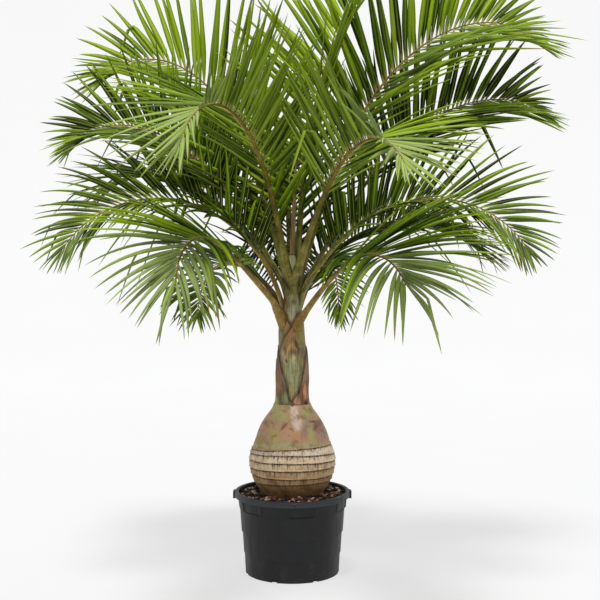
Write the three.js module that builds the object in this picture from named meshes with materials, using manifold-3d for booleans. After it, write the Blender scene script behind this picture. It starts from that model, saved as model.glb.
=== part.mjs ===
// Potted bottle palm in a black nursery pot, in millimetres, +Z up.
// The base of the pot is centred on the origin. The front faces -Y and +X is the viewer's right.
// Bearings are degrees in plan: 0 is +X, 90 is away from the viewer, -90 is towards the viewer.

import * as THREE from 'three';
import Module from 'manifold-3d';

const wasm = await Module();
wasm.setup();

// ---------------------------------------------------------------- driving dimensions

const SIDES = 36;              // facets round the pot, the soil and the bulb
const GAP = 0.4;               // clearance between pieces that touch
const LEAF_CLEAR = 0.6;        // clearance between leaflets of different fronds
const TOLERANCE = 0.02;        // smallest edge kept where pieces are joined

// Pot wall: height above the base, outer radius just below it, outer radius just above it.
const POT_STEPS = [
  { height: 0, below: 163.5, above: 163.5 },
  { height: 73, below: 167, above: 169.5 },
  { height: 147.5, below: 174, above: 177.5 },
  { height: 228, below: 183, above: 185 },
  { height: 283, below: 190.5, above: 190.5 },
];
const POT_HEIGHT = 286;
const POT_WALL = 2.8;
const POT_FLOOR = 4;
const RIM_RADIUS = 200;
const RIM_DROP = 20;           // height of the skirt that hangs from the rim
const RIM_SKIRT = 3;           // thickness of that skirt
const LUG = { reach: 8, height: 28, width: 26 };
const RIB = { count: 12, first: -94.5, width: 9, height: 40, depth: 2.4 };
const NOTCH = { count: 7, first: -163.4, width: 18, height: 9, depth: 12 };

// Potting soil, and the bark laid over it, both highest against the trunk.
const SOIL_AT_TRUNK = 281;
const SOIL_AT_WALL = 262;
const BARK_DEPTH = 9;
const CHIP = { count: 45, length: 43, width: 27, thick: 12, inner: 118, outer: 184 };

// Trunk: height, radius. Under 292 mm it stands in its hole in the soil.
const TRUNK_FOOT = [[238, 96], [262, 108], [281, 112], [291, 113]];
const TRUNK_FORM = [
  [300, 119], [312, 127], [333, 137.4], [354, 144.4], [379, 149], [400, 150], [427, 144.5],
  [447, 136.2], [473, 127.2], [499, 118.3], [524, 106.4], [549, 90.4], [575, 70.6], [592, 63],
];
const RINGS = [309, 329, 356, 386, 411, 434];      // heights of the raised leaf scars
const RING_RAISE = 3;

// Crownshaft: height, radius of the rolled sheaths.
const SHAFT_FORM = [
  [592.4, 62], [612, 59], [650, 57], [720, 57.5], [772, 58], [795, 57], [803, 51], [830, 45.5],
  [865, 42], [905, 40], [950, 36], [1000, 30], [1045, 23], [1085, 15], [1110, 11],
];
const SHAFT_SIDES = 24;
const SPEAR = { foot: 1110.4, tip: 1440, radius: 11, lean: [14, -12] };

// Fronds. base: height where it leaves the shaft. bearing and swing: plan direction and how far
// that turns by the tip. rise and fall: slope at the shaft and at the tip. bend: above 1 holds the
// slope longer. roll: turn of the leaflet plane about the midrib. blade: longest leaflet.
const FRONDS = [
  frond('left_high', 1017, 140, 19, 71, -36, 2.67, 1294, 56, 470, 0.14, 18),
  frond('right_high', 1019, 5, 26, 74, -21, 2.17, 1440, -56, 460, 0.13, 18),
  frond('top', 1066, 45, -8, 85, 29, 1.85, 1348, 0, 450, 0.12, 16),
  frond('right_middle', 979, 12, 6.6, 60.6, -19.3, 2.3, 1210, -50, 400, 0.2, 16),
  frond('left_middle', 1014, 176, -8.7, 58.4, -43.3, 2.75, 1030, 50, 350, 0.2, 16),
  frond('front_left', 1012, -112, -3, 65, -68, 2.36, 1102, -15, 400, 0.22, 18),
  frond('front_right', 1023, -69, -5, 50, -39, 1.91, 1103, 15, 395, 0.24, 18),
  frond('left_low', 929, 192, 8, 74, -60, 1.2, 1010, 45, 300, 0.3, 16),
  frond('right_low', 962, -14, -10, 62, -59, 1.37, 985, -45, 330, 0.28, 16),
  frond('front_left_low', 897, -126, 27, 36, -71, 3.0, 861, 30, 530, 0.45, 20),
  frond('front_right_low', 871, -61, -12, 37, -40, 2.02, 848, -30, 550, 0.4, 20),
  frond('back_left', 1000, 152, -4, 54, -32, 1.73, 963, 25, 400, 0.3, 16),
  frond('back_right', 1000, 32, -10, 49, -32, 1.02, 856, -25, 420, 0.4, 16),
  frond('back_middle', 955, 95, 0, 72, -50, 1.7, 1150, 0, 400, 0.45, 16),
  frond('back_left_low', 898, 128, -26, 49, -57, 1.01, 937, 0, 360, 0.5, 16),
  frond('back_right_low', 890, 75, 4, 32, -91, 2.26, 940, 0, 250, 0.4, 16),
];
const STUB_SHARE = 0.14;       // share of a midrib that is one with the crownshaft
const BARE_SHARE = 0.36;       // share of a midrib without leaflets
const PAIRS = 16;              // leaflet pairs on a frond
const STAGGER = 0.008;         // shift of one row of leaflets against the other
const BLADE_WIDTH = 30;
const BLADE_KEEL = 2.8;

// Places a leaflet may take, in order, until it clears its neighbours: degrees of swing along
// the midrib, degrees of lift, share of its length.
const BENDS = [
  [0, 0, 1], [5, 0, 1], [-5, 0, 1], [0, 8, 1], [0, -8, 1], [8, 8, 1], [-8, -8, 1], [8, -8, 1],
  [-8, 8, 1], [13, 0, 1], [-13, 0, 1], [0, 15, 1], [0, -15, 1], [14, 14, 0.9], [-14, -14, 0.9],
  [14, -14, 0.9], [-14, 14, 0.9], [0, 0, 0.8], [0, 22, 0.8], [0, -22, 0.8], [0, 0, 0.65],
  [10, 10, 0.6], [-10, -10, 0.6], [0, 0, 0.5], [12, 0, 0.45], [-12, 0, 0.45], [0, 0, 0.35],
  [0, 0, 0.25],
];

const COLOURS = {
  pot: [0x2b2d30, 0.62],
  soil: [0x2a1d15, 0.95],
  bark: [0x6b4331, 0.9],
  trunk: [0xa08a68, 0.8],
  shaft: [0x8f9a6c, 0.6],
  spear: [0x7d7a3c, 0.55],
  frond: [0x5c7d28, 0.5],
};

function frond(name, base, bearing, swing, rise, fall, bend, length, roll, blade, droop, foot = 14) {
  return { name, base, bearing, swing, rise, fall, bend, length, roll, blade, droop, foot };
}

// ---------------------------------------------------------------- small helpers

const rad = THREE.MathUtils.degToRad;
const vec = (x, y, z) => new THREE.Vector3(x, y, z);

// Seeded random numbers from 0 to 1.
function randomFrom(seed) {
  let state = seed;
  return () => {
    state = (state * 1664525 + 1013904223) % 4294967296;
    return state / 4294967296;
  };
}

// Straight-line interpolation in a table of [x, y] rows.
function lookUp(table, x) {
  const last = table.length - 1;
  if (x <= table[0][0]) return table[0][1];
  if (x >= table[last][0]) return table[last][1];
  const i = table.findIndex((row) => row[0] >= x);
  const [x0, y0] = table[i - 1];
  const [x1, y1] = table[i];
  return y0 + (y1 - y0) * (x - x0) / (x1 - x0);
}

// ---------------------------------------------------------------- solids from rings of points

// Joins rings of points, first to last, into one closed surface. A ring of one point is a pole.
// A first or last ring of more points is closed with a flat fan.
function ringSolid(rings) {
  const positions = [];
  const starts = [];
  for (const ring of rings) {
    starts.push(positions.length / 3);
    for (const p of ring) positions.push(p.x, p.y, p.z);
  }
  const index = [];
  for (let k = 0; k + 1 < rings.length; k += 1) joinRings(index, rings, starts, k);
  capRing(index, rings[0].length, starts[0], true);
  capRing(index, rings[rings.length - 1].length, starts[rings.length - 1], false);
  return toSolid(positions, index);
}

function joinRings(index, rings, starts, k) {
  const lower = rings[k].length;
  const upper = rings[k + 1].length;
  const a = starts[k];
  const b = starts[k + 1];
  const n = Math.max(lower, upper);
  for (let i = 0; i < n; i += 1) {
    const j = (i + 1) % n;
    if (lower > 1) index.push(a + i, a + j, b + (upper > 1 ? j : 0));
    if (upper > 1) index.push(a + (lower > 1 ? i : 0), b + j, b + i);
  }
}

function capRing(index, count, start, first) {
  for (let i = 1; i + 1 < count; i += 1) {
    if (first) index.push(start, start + i + 1, start + i);
    else index.push(start, start + i, start + i + 1);
  }
}

// A closed triangle mesh as a solid, turned the right way out.
function toSolid(positions, index) {
  const triVerts = signedVolume(positions, index) < 0 ? flipped(index) : index;
  return new wasm.Manifold(new wasm.Mesh({
    numProp: 3,
    vertProperties: new Float32Array(positions),
    triVerts: new Uint32Array(triVerts),
  }));
}

function signedVolume(p, index) {
  let sum = 0;
  const point = (i) => vec(p[3 * i], p[3 * i + 1], p[3 * i + 2]);
  for (let k = 0; k < index.length; k += 3) {
    sum += point(index[k]).dot(point(index[k + 1]).cross(point(index[k + 2])));
  }
  return sum;
}

function flipped(index) {
  const out = [];
  for (let k = 0; k < index.length; k += 3) out.push(index[k], index[k + 2], index[k + 1]);
  return out;
}

// Turns a profile of [radius, height] rows about the Z axis. Radius 0 is a pole.
function turned(profile, sides = SIDES) {
  return ringSolid(profile.map(([r, z]) => (r === 0 ? [vec(0, 0, z)] : circle(r, z, sides))));
}

function circle(r, z, sides) {
  const ring = [];
  for (let i = 0; i < sides; i += 1) {
    const a = 2 * Math.PI * i / sides;
    ring.push(vec(r * Math.cos(a), r * Math.sin(a), z));
  }
  return ring;
}

// A block whose middle is set by bearing, radius and height. Its sizes run outwards, sideways, up.
function block(bearing, radius, height, out, wide, tall) {
  const geometry = new THREE.BoxGeometry(out, wide, tall);
  geometry.translate(radius, 0, height);
  geometry.rotateZ(rad(bearing));
  const p = geometry.attributes.position;
  const corners = [];
  const index = [];
  const seen = new Map();
  for (const i of geometry.index.array) {
    const key = [p.getX(i), p.getY(i), p.getZ(i)].map((v) => v.toFixed(3)).join();
    if (!seen.has(key)) {
      seen.set(key, corners.length / 3);
      corners.push(p.getX(i), p.getY(i), p.getZ(i));
    }
    index.push(seen.get(key));
  }
  return toSolid(corners, index);
}

// A tube of `sides` flats along a line of points, with a radius at each point. Its first or last
// face can be square to a given direction. Turn shifts the flats round it, in flats.
function sweep(points, radii, sides, { first, last, turn = 0.5 } = {}) {
  const end = points.length - 1;
  const rings = points.map((p, i) => {
    const ahead = points[Math.min(i + 1, end)];
    const behind = points[Math.max(i - 1, 0)];
    const along = (i === 0 && first) || (i === end && last) || ahead.clone().sub(behind).normalize();
    const across = acrossOf(along);
    const up = across.clone().cross(along);
    const ring = [];
    for (let k = 0; k < sides; k += 1) {
      const a = 2 * Math.PI * (k + turn) / sides;
      ring.push(p.clone()
        .addScaledVector(across, radii[i] * Math.cos(a))
        .addScaledVector(up, radii[i] * Math.sin(a)));
    }
    return ring;
  });
  return ringSolid(rings);
}

// The level direction across a line.
function acrossOf(along) {
  const across = along.clone().cross(vec(0, 0, 1));
  return across.lengthSq() < 1e-8 ? vec(1, 0, 0) : across.normalize();
}

// Joins solids into one and drops edges shorter than the tolerance.
function fuse(solids) {
  return wasm.Manifold.union(solids).simplify(TOLERANCE);
}

// ---------------------------------------------------------------- pot

function potOuter(z) {
  const rows = POT_STEPS.flatMap((s) => [[s.height, s.below], [s.height + 1e-6, s.above]]);
  return lookUp(rows, z);
}

// Radius of the inside of the pot: the outer steps, one wall thinner and a little higher.
function potInner(z) {
  return potOuter(z - 2.5) - POT_WALL;
}

function makePot() {
  const outside = [[0, 0]];
  for (const s of POT_STEPS) {
    outside.push([s.below, s.height]);
    if (s.above > s.below) outside.push([s.above, s.height]);
  }
  const rim = [
    [RIM_RADIUS - RIM_SKIRT, POT_HEIGHT - 3],
    [RIM_RADIUS - RIM_SKIRT, POT_HEIGHT - RIM_DROP],
    [RIM_RADIUS, POT_HEIGHT - RIM_DROP],
    [RIM_RADIUS, POT_HEIGHT - 1.5],
    [RIM_RADIUS - 2, POT_HEIGHT],
    [188, POT_HEIGHT],
  ];
  const inside = [];
  for (const s of POT_STEPS.slice(1, -1).reverse()) {
    inside.push([s.above - POT_WALL, s.height + 2.5], [s.below - POT_WALL, s.height + 2.5]);
  }
  inside.push([POT_STEPS[0].above - POT_WALL, POT_FLOOR], [0, POT_FLOOR]);
  const shell = turned([...outside, ...rim, ...inside]);
  return shell.add(fuse([...potRibs(), ...potLugs()])).subtract(fuse(potNotches()));
}

// Upright ribs under the rim. They lean with the wall.
function potRibs() {
  const ribs = [];
  const low = POT_STEPS[3].height - 2;
  const high = low + RIB.height;
  for (let i = 0; i < RIB.count; i += 1) {
    const bearing = rad(RIB.first + i * 360 / RIB.count);
    const corners = BOX_CORNERS.flatMap(([x, y, z]) => {
      const height = z < 0 ? low : high;
      const wall = potOuter(Math.max(height, low + 2.1));
      const r = wall + (x < 0 ? -1.2 : RIB.depth);
      const a = bearing + y * RIB.width / wall;
      return [r * Math.cos(a), r * Math.sin(a), height];
    });
    ribs.push(toSolid(corners, BOX_FACES));
  }
  return ribs;
}

// The two lifting lugs, left and right on the rim.
function potLugs() {
  const height = POT_HEIGHT - 2 - LUG.height / 2;
  const radius = RIM_RADIUS + LUG.reach / 2 - 1.5;
  return [0, 180].map((b) => block(b, radius, height, LUG.reach + 3, LUG.width, LUG.height));
}

// Drain notches in the bottom edge.
function potNotches() {
  const cuts = [];
  for (let i = 0; i < NOTCH.count; i += 1) {
    const bearing = NOTCH.first + i * 360 / NOTCH.count;
    cuts.push(block(bearing, 161, NOTCH.height / 2 - 1, NOTCH.depth, NOTCH.width,
      NOTCH.height + 2));
  }
  return cuts;
}

// ---------------------------------------------------------------- soil and bark

// Height of the soil at a distance from the axis.
function soilTop(r) {
  return lookUp([[112, SOIL_AT_TRUNK], [187, SOIL_AT_WALL]], r);
}

function makeSoil() {
  const side = [];
  for (const s of POT_STEPS.slice(1, -1)) {
    side.push([s.below - POT_WALL - GAP, s.height + 2.5 + GAP]);
    side.push([s.above - POT_WALL - GAP, s.height + 2.5 + GAP]);
  }
  const [foot, lower, upper] = TRUNK_FOOT;
  return turned([
    [0, POT_FLOOR + GAP],
    [POT_STEPS[0].above - POT_WALL - GAP, POT_FLOOR + GAP],
    ...side,
    [potInner(SOIL_AT_WALL) - GAP, SOIL_AT_WALL],
    [upper[1] + GAP, SOIL_AT_TRUNK],
    [lower[1] + GAP, lower[0] - GAP],
    [foot[1] + GAP, foot[0] - GAP],
    [0, foot[0] - GAP],
  ]);
}

function makeBark() {
  const inner = TRUNK_FOOT[3][1] + 0.6;
  const outer = potInner(SOIL_AT_WALL) - 0.6;
  const bed = ringBody([
    [inner, soilTop(inner) + GAP],
    [outer, soilTop(outer) + GAP],
    [outer, soilTop(outer) + BARK_DEPTH],
    [inner, soilTop(inner) + BARK_DEPTH],
  ]);
  const draw = randomFrom(71);
  const chips = [];
  for (let i = 0; i < CHIP.count; i += 1) chips.push(barkChip(i, draw));
  return fuse([bed, ...chips]);
}

// A closed ring with a four-cornered section, turned about the Z axis.
function ringBody(corners) {
  const positions = [];
  for (let i = 0; i < SIDES; i += 1) {
    const a = 2 * Math.PI * i / SIDES;
    for (const [r, z] of corners) positions.push(r * Math.cos(a), r * Math.sin(a), z);
  }
  const index = [];
  const n = corners.length;
  for (let i = 0; i < SIDES; i += 1) {
    const here = i * n;
    const next = ((i + 1) % SIDES) * n;
    for (let k = 0; k < n; k += 1) {
      const m = (k + 1) % n;
      index.push(here + k, next + k, next + m, here + k, next + m, here + m);
    }
  }
  return toSolid(positions, index);
}

// One rough chip, lying at a slant, sunk in the bark bed. Chips are spread by the golden angle.
function barkChip(i, draw) {
  const bearing = rad(i * 137.508);
  const share = Math.sqrt((i + 0.5) / CHIP.count);
  const size = [CHIP.length, CHIP.width, CHIP.thick].map((s) => s * (0.72 + 0.36 * draw()));
  const reach = 0.42 * size[0];
  const low = CHIP.inner + reach;
  const middle = low + (CHIP.outer - reach - low) * (0.5 + (share - 0.5) * 0.9);
  const turn = new THREE.Euler(0.3 * (draw() - 0.5), 0.3 * (draw() - 0.5), 6.283 * draw());
  const centre = vec(middle * Math.cos(bearing), middle * Math.sin(bearing),
    soilTop(middle) + BARK_DEPTH - 0.5);
  const corners = [];
  for (const [x, y, z] of BOX_CORNERS) {
    const p = vec(x * size[0] * (0.85 + 0.3 * draw()), y * size[1] * (0.7 + 0.5 * draw()),
      z * size[2] * (0.8 + 0.4 * draw()));
    corners.push(keepInRing(p.applyEuler(turn).add(centre)));
  }
  return toSolid(corners.flatMap((p) => [p.x, p.y, p.z]), BOX_FACES);
}

const BOX_CORNERS = [
  [-0.5, -0.5, -0.5], [0.5, -0.5, -0.5], [0.5, 0.5, -0.5], [-0.5, 0.5, -0.5],
  [-0.5, -0.5, 0.5], [0.5, -0.5, 0.5], [0.5, 0.5, 0.5], [-0.5, 0.5, 0.5],
];
const BOX_FACES = [
  0, 2, 1, 0, 3, 2, 4, 5, 6, 4, 6, 7, 0, 1, 5, 0, 5, 4,
  1, 2, 6, 1, 6, 5, 2, 3, 7, 2, 7, 6, 3, 0, 4, 3, 4, 7,
];

// Moves a point between the trunk and the pot wall, and above the soil.
function keepInRing(p) {
  const r = Math.hypot(p.x, p.y);
  p.z = Math.max(p.z, soilTop(r) + GAP + 0.4);
  const inner = trunkRadius(p.z) + 2.2;
  const outer = potInner(p.z) - 1.8;
  const kept = Math.min(Math.max(r, inner), outer);
  p.x *= kept / r;
  p.y *= kept / r;
  p.z = Math.max(p.z, soilTop(kept) + GAP + 0.4);
  return p;
}

// ---------------------------------------------------------------- trunk

function trunkRadius(z) {
  return lookUp([...TRUNK_FOOT, ...TRUNK_FORM], z);
}

function makeTrunk() {
  const rows = TRUNK_FOOT.map(([z, r]) => [r, z]);
  const grooves = RINGS.slice(1).map((z, i) => (z + RINGS[i]) / 2);
  const smooth = TRUNK_FORM.map(([z]) => z).filter((z) => z > RINGS[RINGS.length - 1] + 5);
  const heights = [300, ...RINGS, ...grooves, ...smooth].sort((a, b) => a - b);
  for (const z of heights) rows.push([ringedRadius(z), z]);
  const top = TRUNK_FORM[TRUNK_FORM.length - 1][0];
  return turned([[0, TRUNK_FOOT[0][0]], ...rows, [0, top]]);
}

// Trunk radius with its raised leaf scars.
function ringedRadius(z) {
  const onRing = RINGS.includes(z);
  return trunkRadius(z) + (onRing ? RING_RAISE : 0);
}

// ---------------------------------------------------------------- frond midribs

const CURVE_STEPS = 120;

// Points along a midrib. The slope falls from rise to fall, the bearing turns by swing.
function midrib(f) {
  const out = [];
  const start = lookUp([[850, 34], [1000, 26], [1150, 16], [1250, 8]], f.base);
  const p = vec(start * Math.cos(rad(f.bearing)), start * Math.sin(rad(f.bearing)), f.base);
  const step = f.length / CURVE_STEPS;
  out.push(p.clone());
  for (let i = 0; i < CURVE_STEPS; i += 1) {
    p.addScaledVector(heading(f, (i + 0.5) / CURVE_STEPS), step);
    out.push(p.clone());
  }
  return out;
}

function heading(f, share) {
  const slope = rad(f.rise - (f.rise - f.fall) * share ** f.bend);
  const bearing = rad(f.bearing + f.swing * share ** 1.5);
  return vec(Math.cos(slope) * Math.cos(bearing), Math.cos(slope) * Math.sin(bearing),
    Math.sin(slope));
}

function pointAt(curve, share) {
  const k = Math.min(share * CURVE_STEPS, CURVE_STEPS - 1e-9);
  const i = Math.floor(k);
  return curve[i].clone().lerp(curve[i + 1], k - i);
}

function midribRadius(share) {
  return lookUp([[0, 14], [STUB_SHARE, 11.5], [0.25, 10], [0.36, 8.4], [0.5, 6], [0.75, 4.2],
    [1, 2.4]], share);
}

// Shares of the midrib where its straight facets meet.
const STATIONS = [0.2, 0.27, 0.36, 0.46, 0.56, 0.66, 0.76, 0.86, 0.94, 1];

function midribLine(f) {
  const curve = midrib(f);
  const first = STUB_SHARE + GAP / f.length;
  const shares = [first, ...STATIONS];
  return { curve, shares, points: shares.map((s) => pointAt(curve, s)) };
}

// A point on the faceted midrib, so that leaflet roots stay sunk in it.
function facetPoint(line, share) {
  const { shares, points } = line;
  let i = shares.findIndex((s) => s >= share);
  i = i < 1 ? (i === 0 ? 1 : shares.length - 1) : i;
  return points[i - 1].clone()
    .lerp(points[i], (share - shares[i - 1]) / (shares[i] - shares[i - 1]));
}

function makeMidrib(f, line) {
  const first = heading(f, STUB_SHARE);
  return sweep(line.points, line.shares.map(midribRadius), 4, { first });
}

// ---------------------------------------------------------------- leaflets

const LEAF_LENGTH = [[0, 0.72], [0.12, 0.92], [0.35, 1], [0.7, 0.84], [0.9, 0.58], [1, 0.34]];
const LEAF_ANGLE = [[0, 60], [0.3, 54], [0.7, 44], [0.9, 34], [1, 14]];
const LEAF_LIFT = [[0, 40], [0.3, 36], [0.7, 26], [1, 8]];

// Directions at a place on a frond: along it, across it and up from it, turned by the roll.
function axesAt(f, share) {
  const along = heading(f, share);
  const level = acrossOf(along);
  const normal = level.clone().cross(along);
  const a = rad(f.roll);
  const across = level.clone().multiplyScalar(Math.cos(a)).addScaledVector(normal, Math.sin(a));
  const up = normal.clone().multiplyScalar(Math.cos(a)).addScaledVector(level, -Math.sin(a));
  return { along, across, up };
}

// One leaflet: a three-sided blade, pointed at its root inside the midrib and at its tip.
function makeLeaflet(f, line, u, side, [swing, lift, cut]) {
  const share = BARE_SHARE + (1 - BARE_SHARE) * (u * 0.97 + side * STAGGER);
  const { along, across, up } = axesAt(f, share);
  const angle = rad(lookUp(LEAF_ANGLE, u) + swing);
  const raise = rad(lookUp(LEAF_LIFT, u) + lift);
  const out = along.clone().multiplyScalar(Math.cos(angle))
    .addScaledVector(across, side * Math.sin(angle) * Math.cos(raise))
    .addScaledVector(up, Math.sin(angle) * Math.sin(raise));
  const length = f.blade * lookUp(LEAF_LENGTH, u) * cut;
  const path = droopingPath(facetPoint(line, share), out, length, f.droop);
  const wide = along.clone().addScaledVector(out, -along.dot(out)).normalize();
  const face = wide.clone().cross(out).normalize();
  if (face.dot(up) < 0) face.negate();
  const half = Math.min(BLADE_WIDTH / 2, 5 + length * 0.06);
  return ringSolid([[path(0)], threePoints(path(0.36), wide, face, half), [path(1)]]);
}

// A path that starts along `out` and bends down more and more towards its end.
function droopingPath(root, out, length, droop) {
  const steps = 8;
  const points = [root.clone()];
  const p = root.clone();
  const level = Math.sqrt(Math.max(0, 1 - out.z * out.z));
  for (let i = 1; i <= steps; i += 1) {
    const t = i / steps;
    const way = out.clone();
    way.z -= droop * 1.2 * t ** 1.3 * level;
    p.addScaledVector(way.normalize(), length / steps);
    points.push(p.clone());
  }
  return (t) => {
    const k = Math.min(t * steps, steps - 1e-9);
    return points[Math.floor(k)].clone().lerp(points[Math.floor(k) + 1], k - Math.floor(k));
  };
}

function threePoints(p, wide, face, half) {
  return [
    p.clone().addScaledVector(wide, half).addScaledVector(face, BLADE_KEEL * 0.3),
    p.clone().addScaledVector(wide, -half).addScaledVector(face, BLADE_KEEL * 0.3),
    p.clone().addScaledVector(face, -BLADE_KEEL * 0.7),
  ];
}

// ---------------------------------------------------------------- fronds clear of each other

function boxesMeet(a, b) {
  for (let k = 0; k < 3; k += 1) {
    if (a.min[k] > b.max[k] + LEAF_CLEAR || b.min[k] > a.max[k] + LEAF_CLEAR) return false;
  }
  return true;
}

function withBox(solid) {
  return { solid, box: solid.boundingBox() };
}

function isClear(solid, others) {
  const box = solid.boundingBox();
  return others.every((o) => !boxesMeet(box, o.box)
    || o.solid.minGap(solid, LEAF_CLEAR) >= LEAF_CLEAR);
}

// Builds every frond in turn. A leaflet that would touch a finished frond, another midrib or
// the shaft is bent aside or shortened until it is clear.
function makeFronds(fixed) {
  const lines = FRONDS.map(midribLine);
  const midribs = FRONDS.map((f, i) => withBox(makeMidrib(f, lines[i])));
  const done = [];
  FRONDS.forEach((f, i) => {
    const others = [...fixed, ...done, ...midribs.filter((_, k) => k !== i)];
    const leaflets = [];
    for (let k = 0; k < PAIRS; k += 1) {
      for (const side of [-1, 1]) {
        const leaf = clearLeaflet(f, lines[i], k / (PAIRS - 1), side, others);
        if (leaf) leaflets.push(leaf);
      }
    }
    done.push(withBox(fuse([midribs[i].solid, ...leaflets])));
  });
  return done.map((d) => d.solid);
}

function clearLeaflet(f, line, u, side, others) {
  for (const bend of BENDS) {
    const leaf = makeLeaflet(f, line, u, side, bend);
    if (isClear(leaf, others)) return leaf;
  }
  return null;
}

// ---------------------------------------------------------------- crownshaft and spear

function makeShaft() {
  const rows = SHAFT_FORM.map(([z, r]) => [r, z]);
  const body = turned([[0, rows[0][1]], ...rows, [0, rows[rows.length - 1][1]]], SHAFT_SIDES);
  const stubs = FRONDS.map((f, i) => makeStub(f, (i * 0.19) % 1));
  return fuse([body, ...stubs]);
}

// The foot of a frond, rolled into the shaft: a thick sheath that narrows to the midrib.
function makeStub(f, turn) {
  const curve = midrib(f);
  const first = curve[0];
  const lead = [[0.5, -90], [0.85, -38]].map(([k, dz]) => vec(first.x * k, first.y * k,
    first.z + dz));
  const shares = [0.012, 0.05, 0.09, STUB_SHARE];
  const points = [...lead, ...shares.map((s) => pointAt(curve, s))];
  const end = midribRadius(STUB_SHARE);
  const radii = [f.foot * 0.9, f.foot, f.foot * 0.95, (f.foot + end) / 2 + 0.5, end + 1, end];
  return sweep(points, radii, 6, { last: heading(f, STUB_SHARE), turn });
}

// The closed young leaf that stands in the middle of the crown.
function makeSpear() {
  const { foot, tip, radius, lean } = SPEAR;
  const points = [0, 0.3, 0.65, 1].map((t) => vec(lean[0] * t, lean[1] * t,
    foot + (tip - foot) * t));
  const radii = [radius, radius * 0.8, radius * 0.55, radius * 0.16];
  return sweep(points, radii, 6, { first: vec(lean[0], lean[1], 40 * (tip - foot)).normalize() });
}

// ---------------------------------------------------------------- the group

function toGeometry(solid) {
  const mesh = solid.getMesh();
  const geometry = new THREE.BufferGeometry();
  const p = new Float32Array(mesh.vertProperties);
  geometry.setAttribute('position', new THREE.BufferAttribute(p, 3));
  geometry.setIndex([...mesh.triVerts]);
  geometry.computeVertexNormals();
  return geometry;
}

const group = new THREE.Group();

function addPart(name, solid, [color, roughness]) {
  const material = new THREE.MeshStandardMaterial({ color, roughness, metalness: 0 });
  const mesh = new THREE.Mesh(toGeometry(solid), material);
  mesh.name = name;
  group.add(mesh);
}

const shaft = makeShaft();
const spear = makeSpear();

addPart('pot', makePot(), COLOURS.pot);
addPart('potting_soil', makeSoil(), COLOURS.soil);
addPart('bark_mulch', makeBark(), COLOURS.bark);
addPart('trunk', makeTrunk(), COLOURS.trunk);
addPart('crownshaft', shaft, COLOURS.shaft);
addPart('spear_leaf', spear, COLOURS.spear);
makeFronds([withBox(shaft), withBox(spear)]).forEach((solid, i) => {
  addPart(`frond_${FRONDS[i].name}`, solid, COLOURS.frond);
});

export default group;
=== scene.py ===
# %% [markdown]
# # A potted bottle palm
# The real object is a young bottle palm in a black nursery pot. Its solids come from the CAD
# frame, in metres, with Z up and the front towards -Y. This lesson dresses them: each piece is a
# surface worked out with numpy from two parameters, so that its form can be read in a formula.

# %% Load the frame and keep the size of the solids
import math
from collections import namedtuple
from functools import partial

import bpy
import numpy as np
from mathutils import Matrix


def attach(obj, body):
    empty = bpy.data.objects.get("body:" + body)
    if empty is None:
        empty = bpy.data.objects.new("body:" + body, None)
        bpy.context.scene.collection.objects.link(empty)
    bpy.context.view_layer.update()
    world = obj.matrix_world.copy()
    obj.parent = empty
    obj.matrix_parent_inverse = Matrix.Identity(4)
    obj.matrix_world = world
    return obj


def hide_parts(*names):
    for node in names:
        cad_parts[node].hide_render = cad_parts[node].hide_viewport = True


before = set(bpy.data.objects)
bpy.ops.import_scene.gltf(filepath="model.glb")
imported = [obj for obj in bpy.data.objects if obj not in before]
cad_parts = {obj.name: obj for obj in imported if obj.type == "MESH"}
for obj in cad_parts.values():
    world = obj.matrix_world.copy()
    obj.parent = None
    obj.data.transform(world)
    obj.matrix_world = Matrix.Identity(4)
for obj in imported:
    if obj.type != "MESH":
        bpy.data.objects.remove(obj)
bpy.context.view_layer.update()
MM = 0.001

# %% [markdown]
# ## The camera first
# The picture was taken from chest height, four metres away, almost level. Fixing the camera
# before anything else lets a mark on the trunk be placed by the pixel where it is seen.

# %% Camera
PICTURE = 600                      # the picture is 600 pixels wide and high
CAMERA_PLACE = (0.027, -4.0, 1.15)
CAMERA_TILT = 2.83                 # degrees below level
LENS, SENSOR = 69.12, 36.0         # focal length and sensor width in millimetres

camera_data = bpy.data.cameras.new("camera")
camera_data.lens = LENS
camera_data.sensor_width = SENSOR
camera_data.clip_end = 60
camera = bpy.data.objects.new("camera", camera_data)
camera.location = CAMERA_PLACE
camera.rotation_euler = (math.radians(90 - CAMERA_TILT), 0, 0)
bpy.context.scene.collection.objects.link(camera)
bpy.context.scene.camera = camera
bpy.context.scene.view_settings.view_transform = "Standard"
print("camera:", CAMERA_PLACE, "lens in mm:", LENS)


def picture_pixel(points):
    """Pixel of the picture where each point is seen: its offset from the camera, turned into the
    camera's own axes, divided by its distance and scaled by the focal length in pixels."""
    focal = LENS / SENSOR * PICTURE
    tilt = math.radians(CAMERA_TILT)
    away = points - np.array(CAMERA_PLACE)
    depth = away[..., 1] * math.cos(tilt) - away[..., 2] * math.sin(tilt)
    rise = away[..., 1] * math.sin(tilt) + away[..., 2] * math.cos(tilt)
    return np.stack([PICTURE / 2 + focal * away[..., 0] / depth,
                     PICTURE / 2 - focal * rise / depth], axis=-1)


# %% [markdown]
# ## Small tools
# Nearly every piece here is a stack of rings closed by a point at each end: the pot, the trunk,
# a midrib, a leaflet and a chip of bark. One function makes the faces for any number of such
# shells at once, and turns each shell the right way out by the sign of its volume.

# %% Circles and soft steps


def around(count):
    """Evenly spaced angles round a circle, in radians."""
    return np.arange(count) * 2 * math.pi / count


def on_circle(r, turn, z):
    """Points at a radius, an angle in radians and a height."""
    return np.stack([r * np.cos(turn), r * np.sin(turn), z + 0 * r], -1)


def from_front(bearing):
    """Degrees from the front, from -180 to 180, growing to the right."""
    return (bearing + 90 + 180) % 360 - 180


def smooth(value, low, high):
    """0 under low, 1 over high, and 3t^2 - 2t^3 between."""
    t = np.clip((value - low) / (high - low), 0, 1)
    return t * t * (3 - 2 * t)


# %% Shells made of rings


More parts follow.
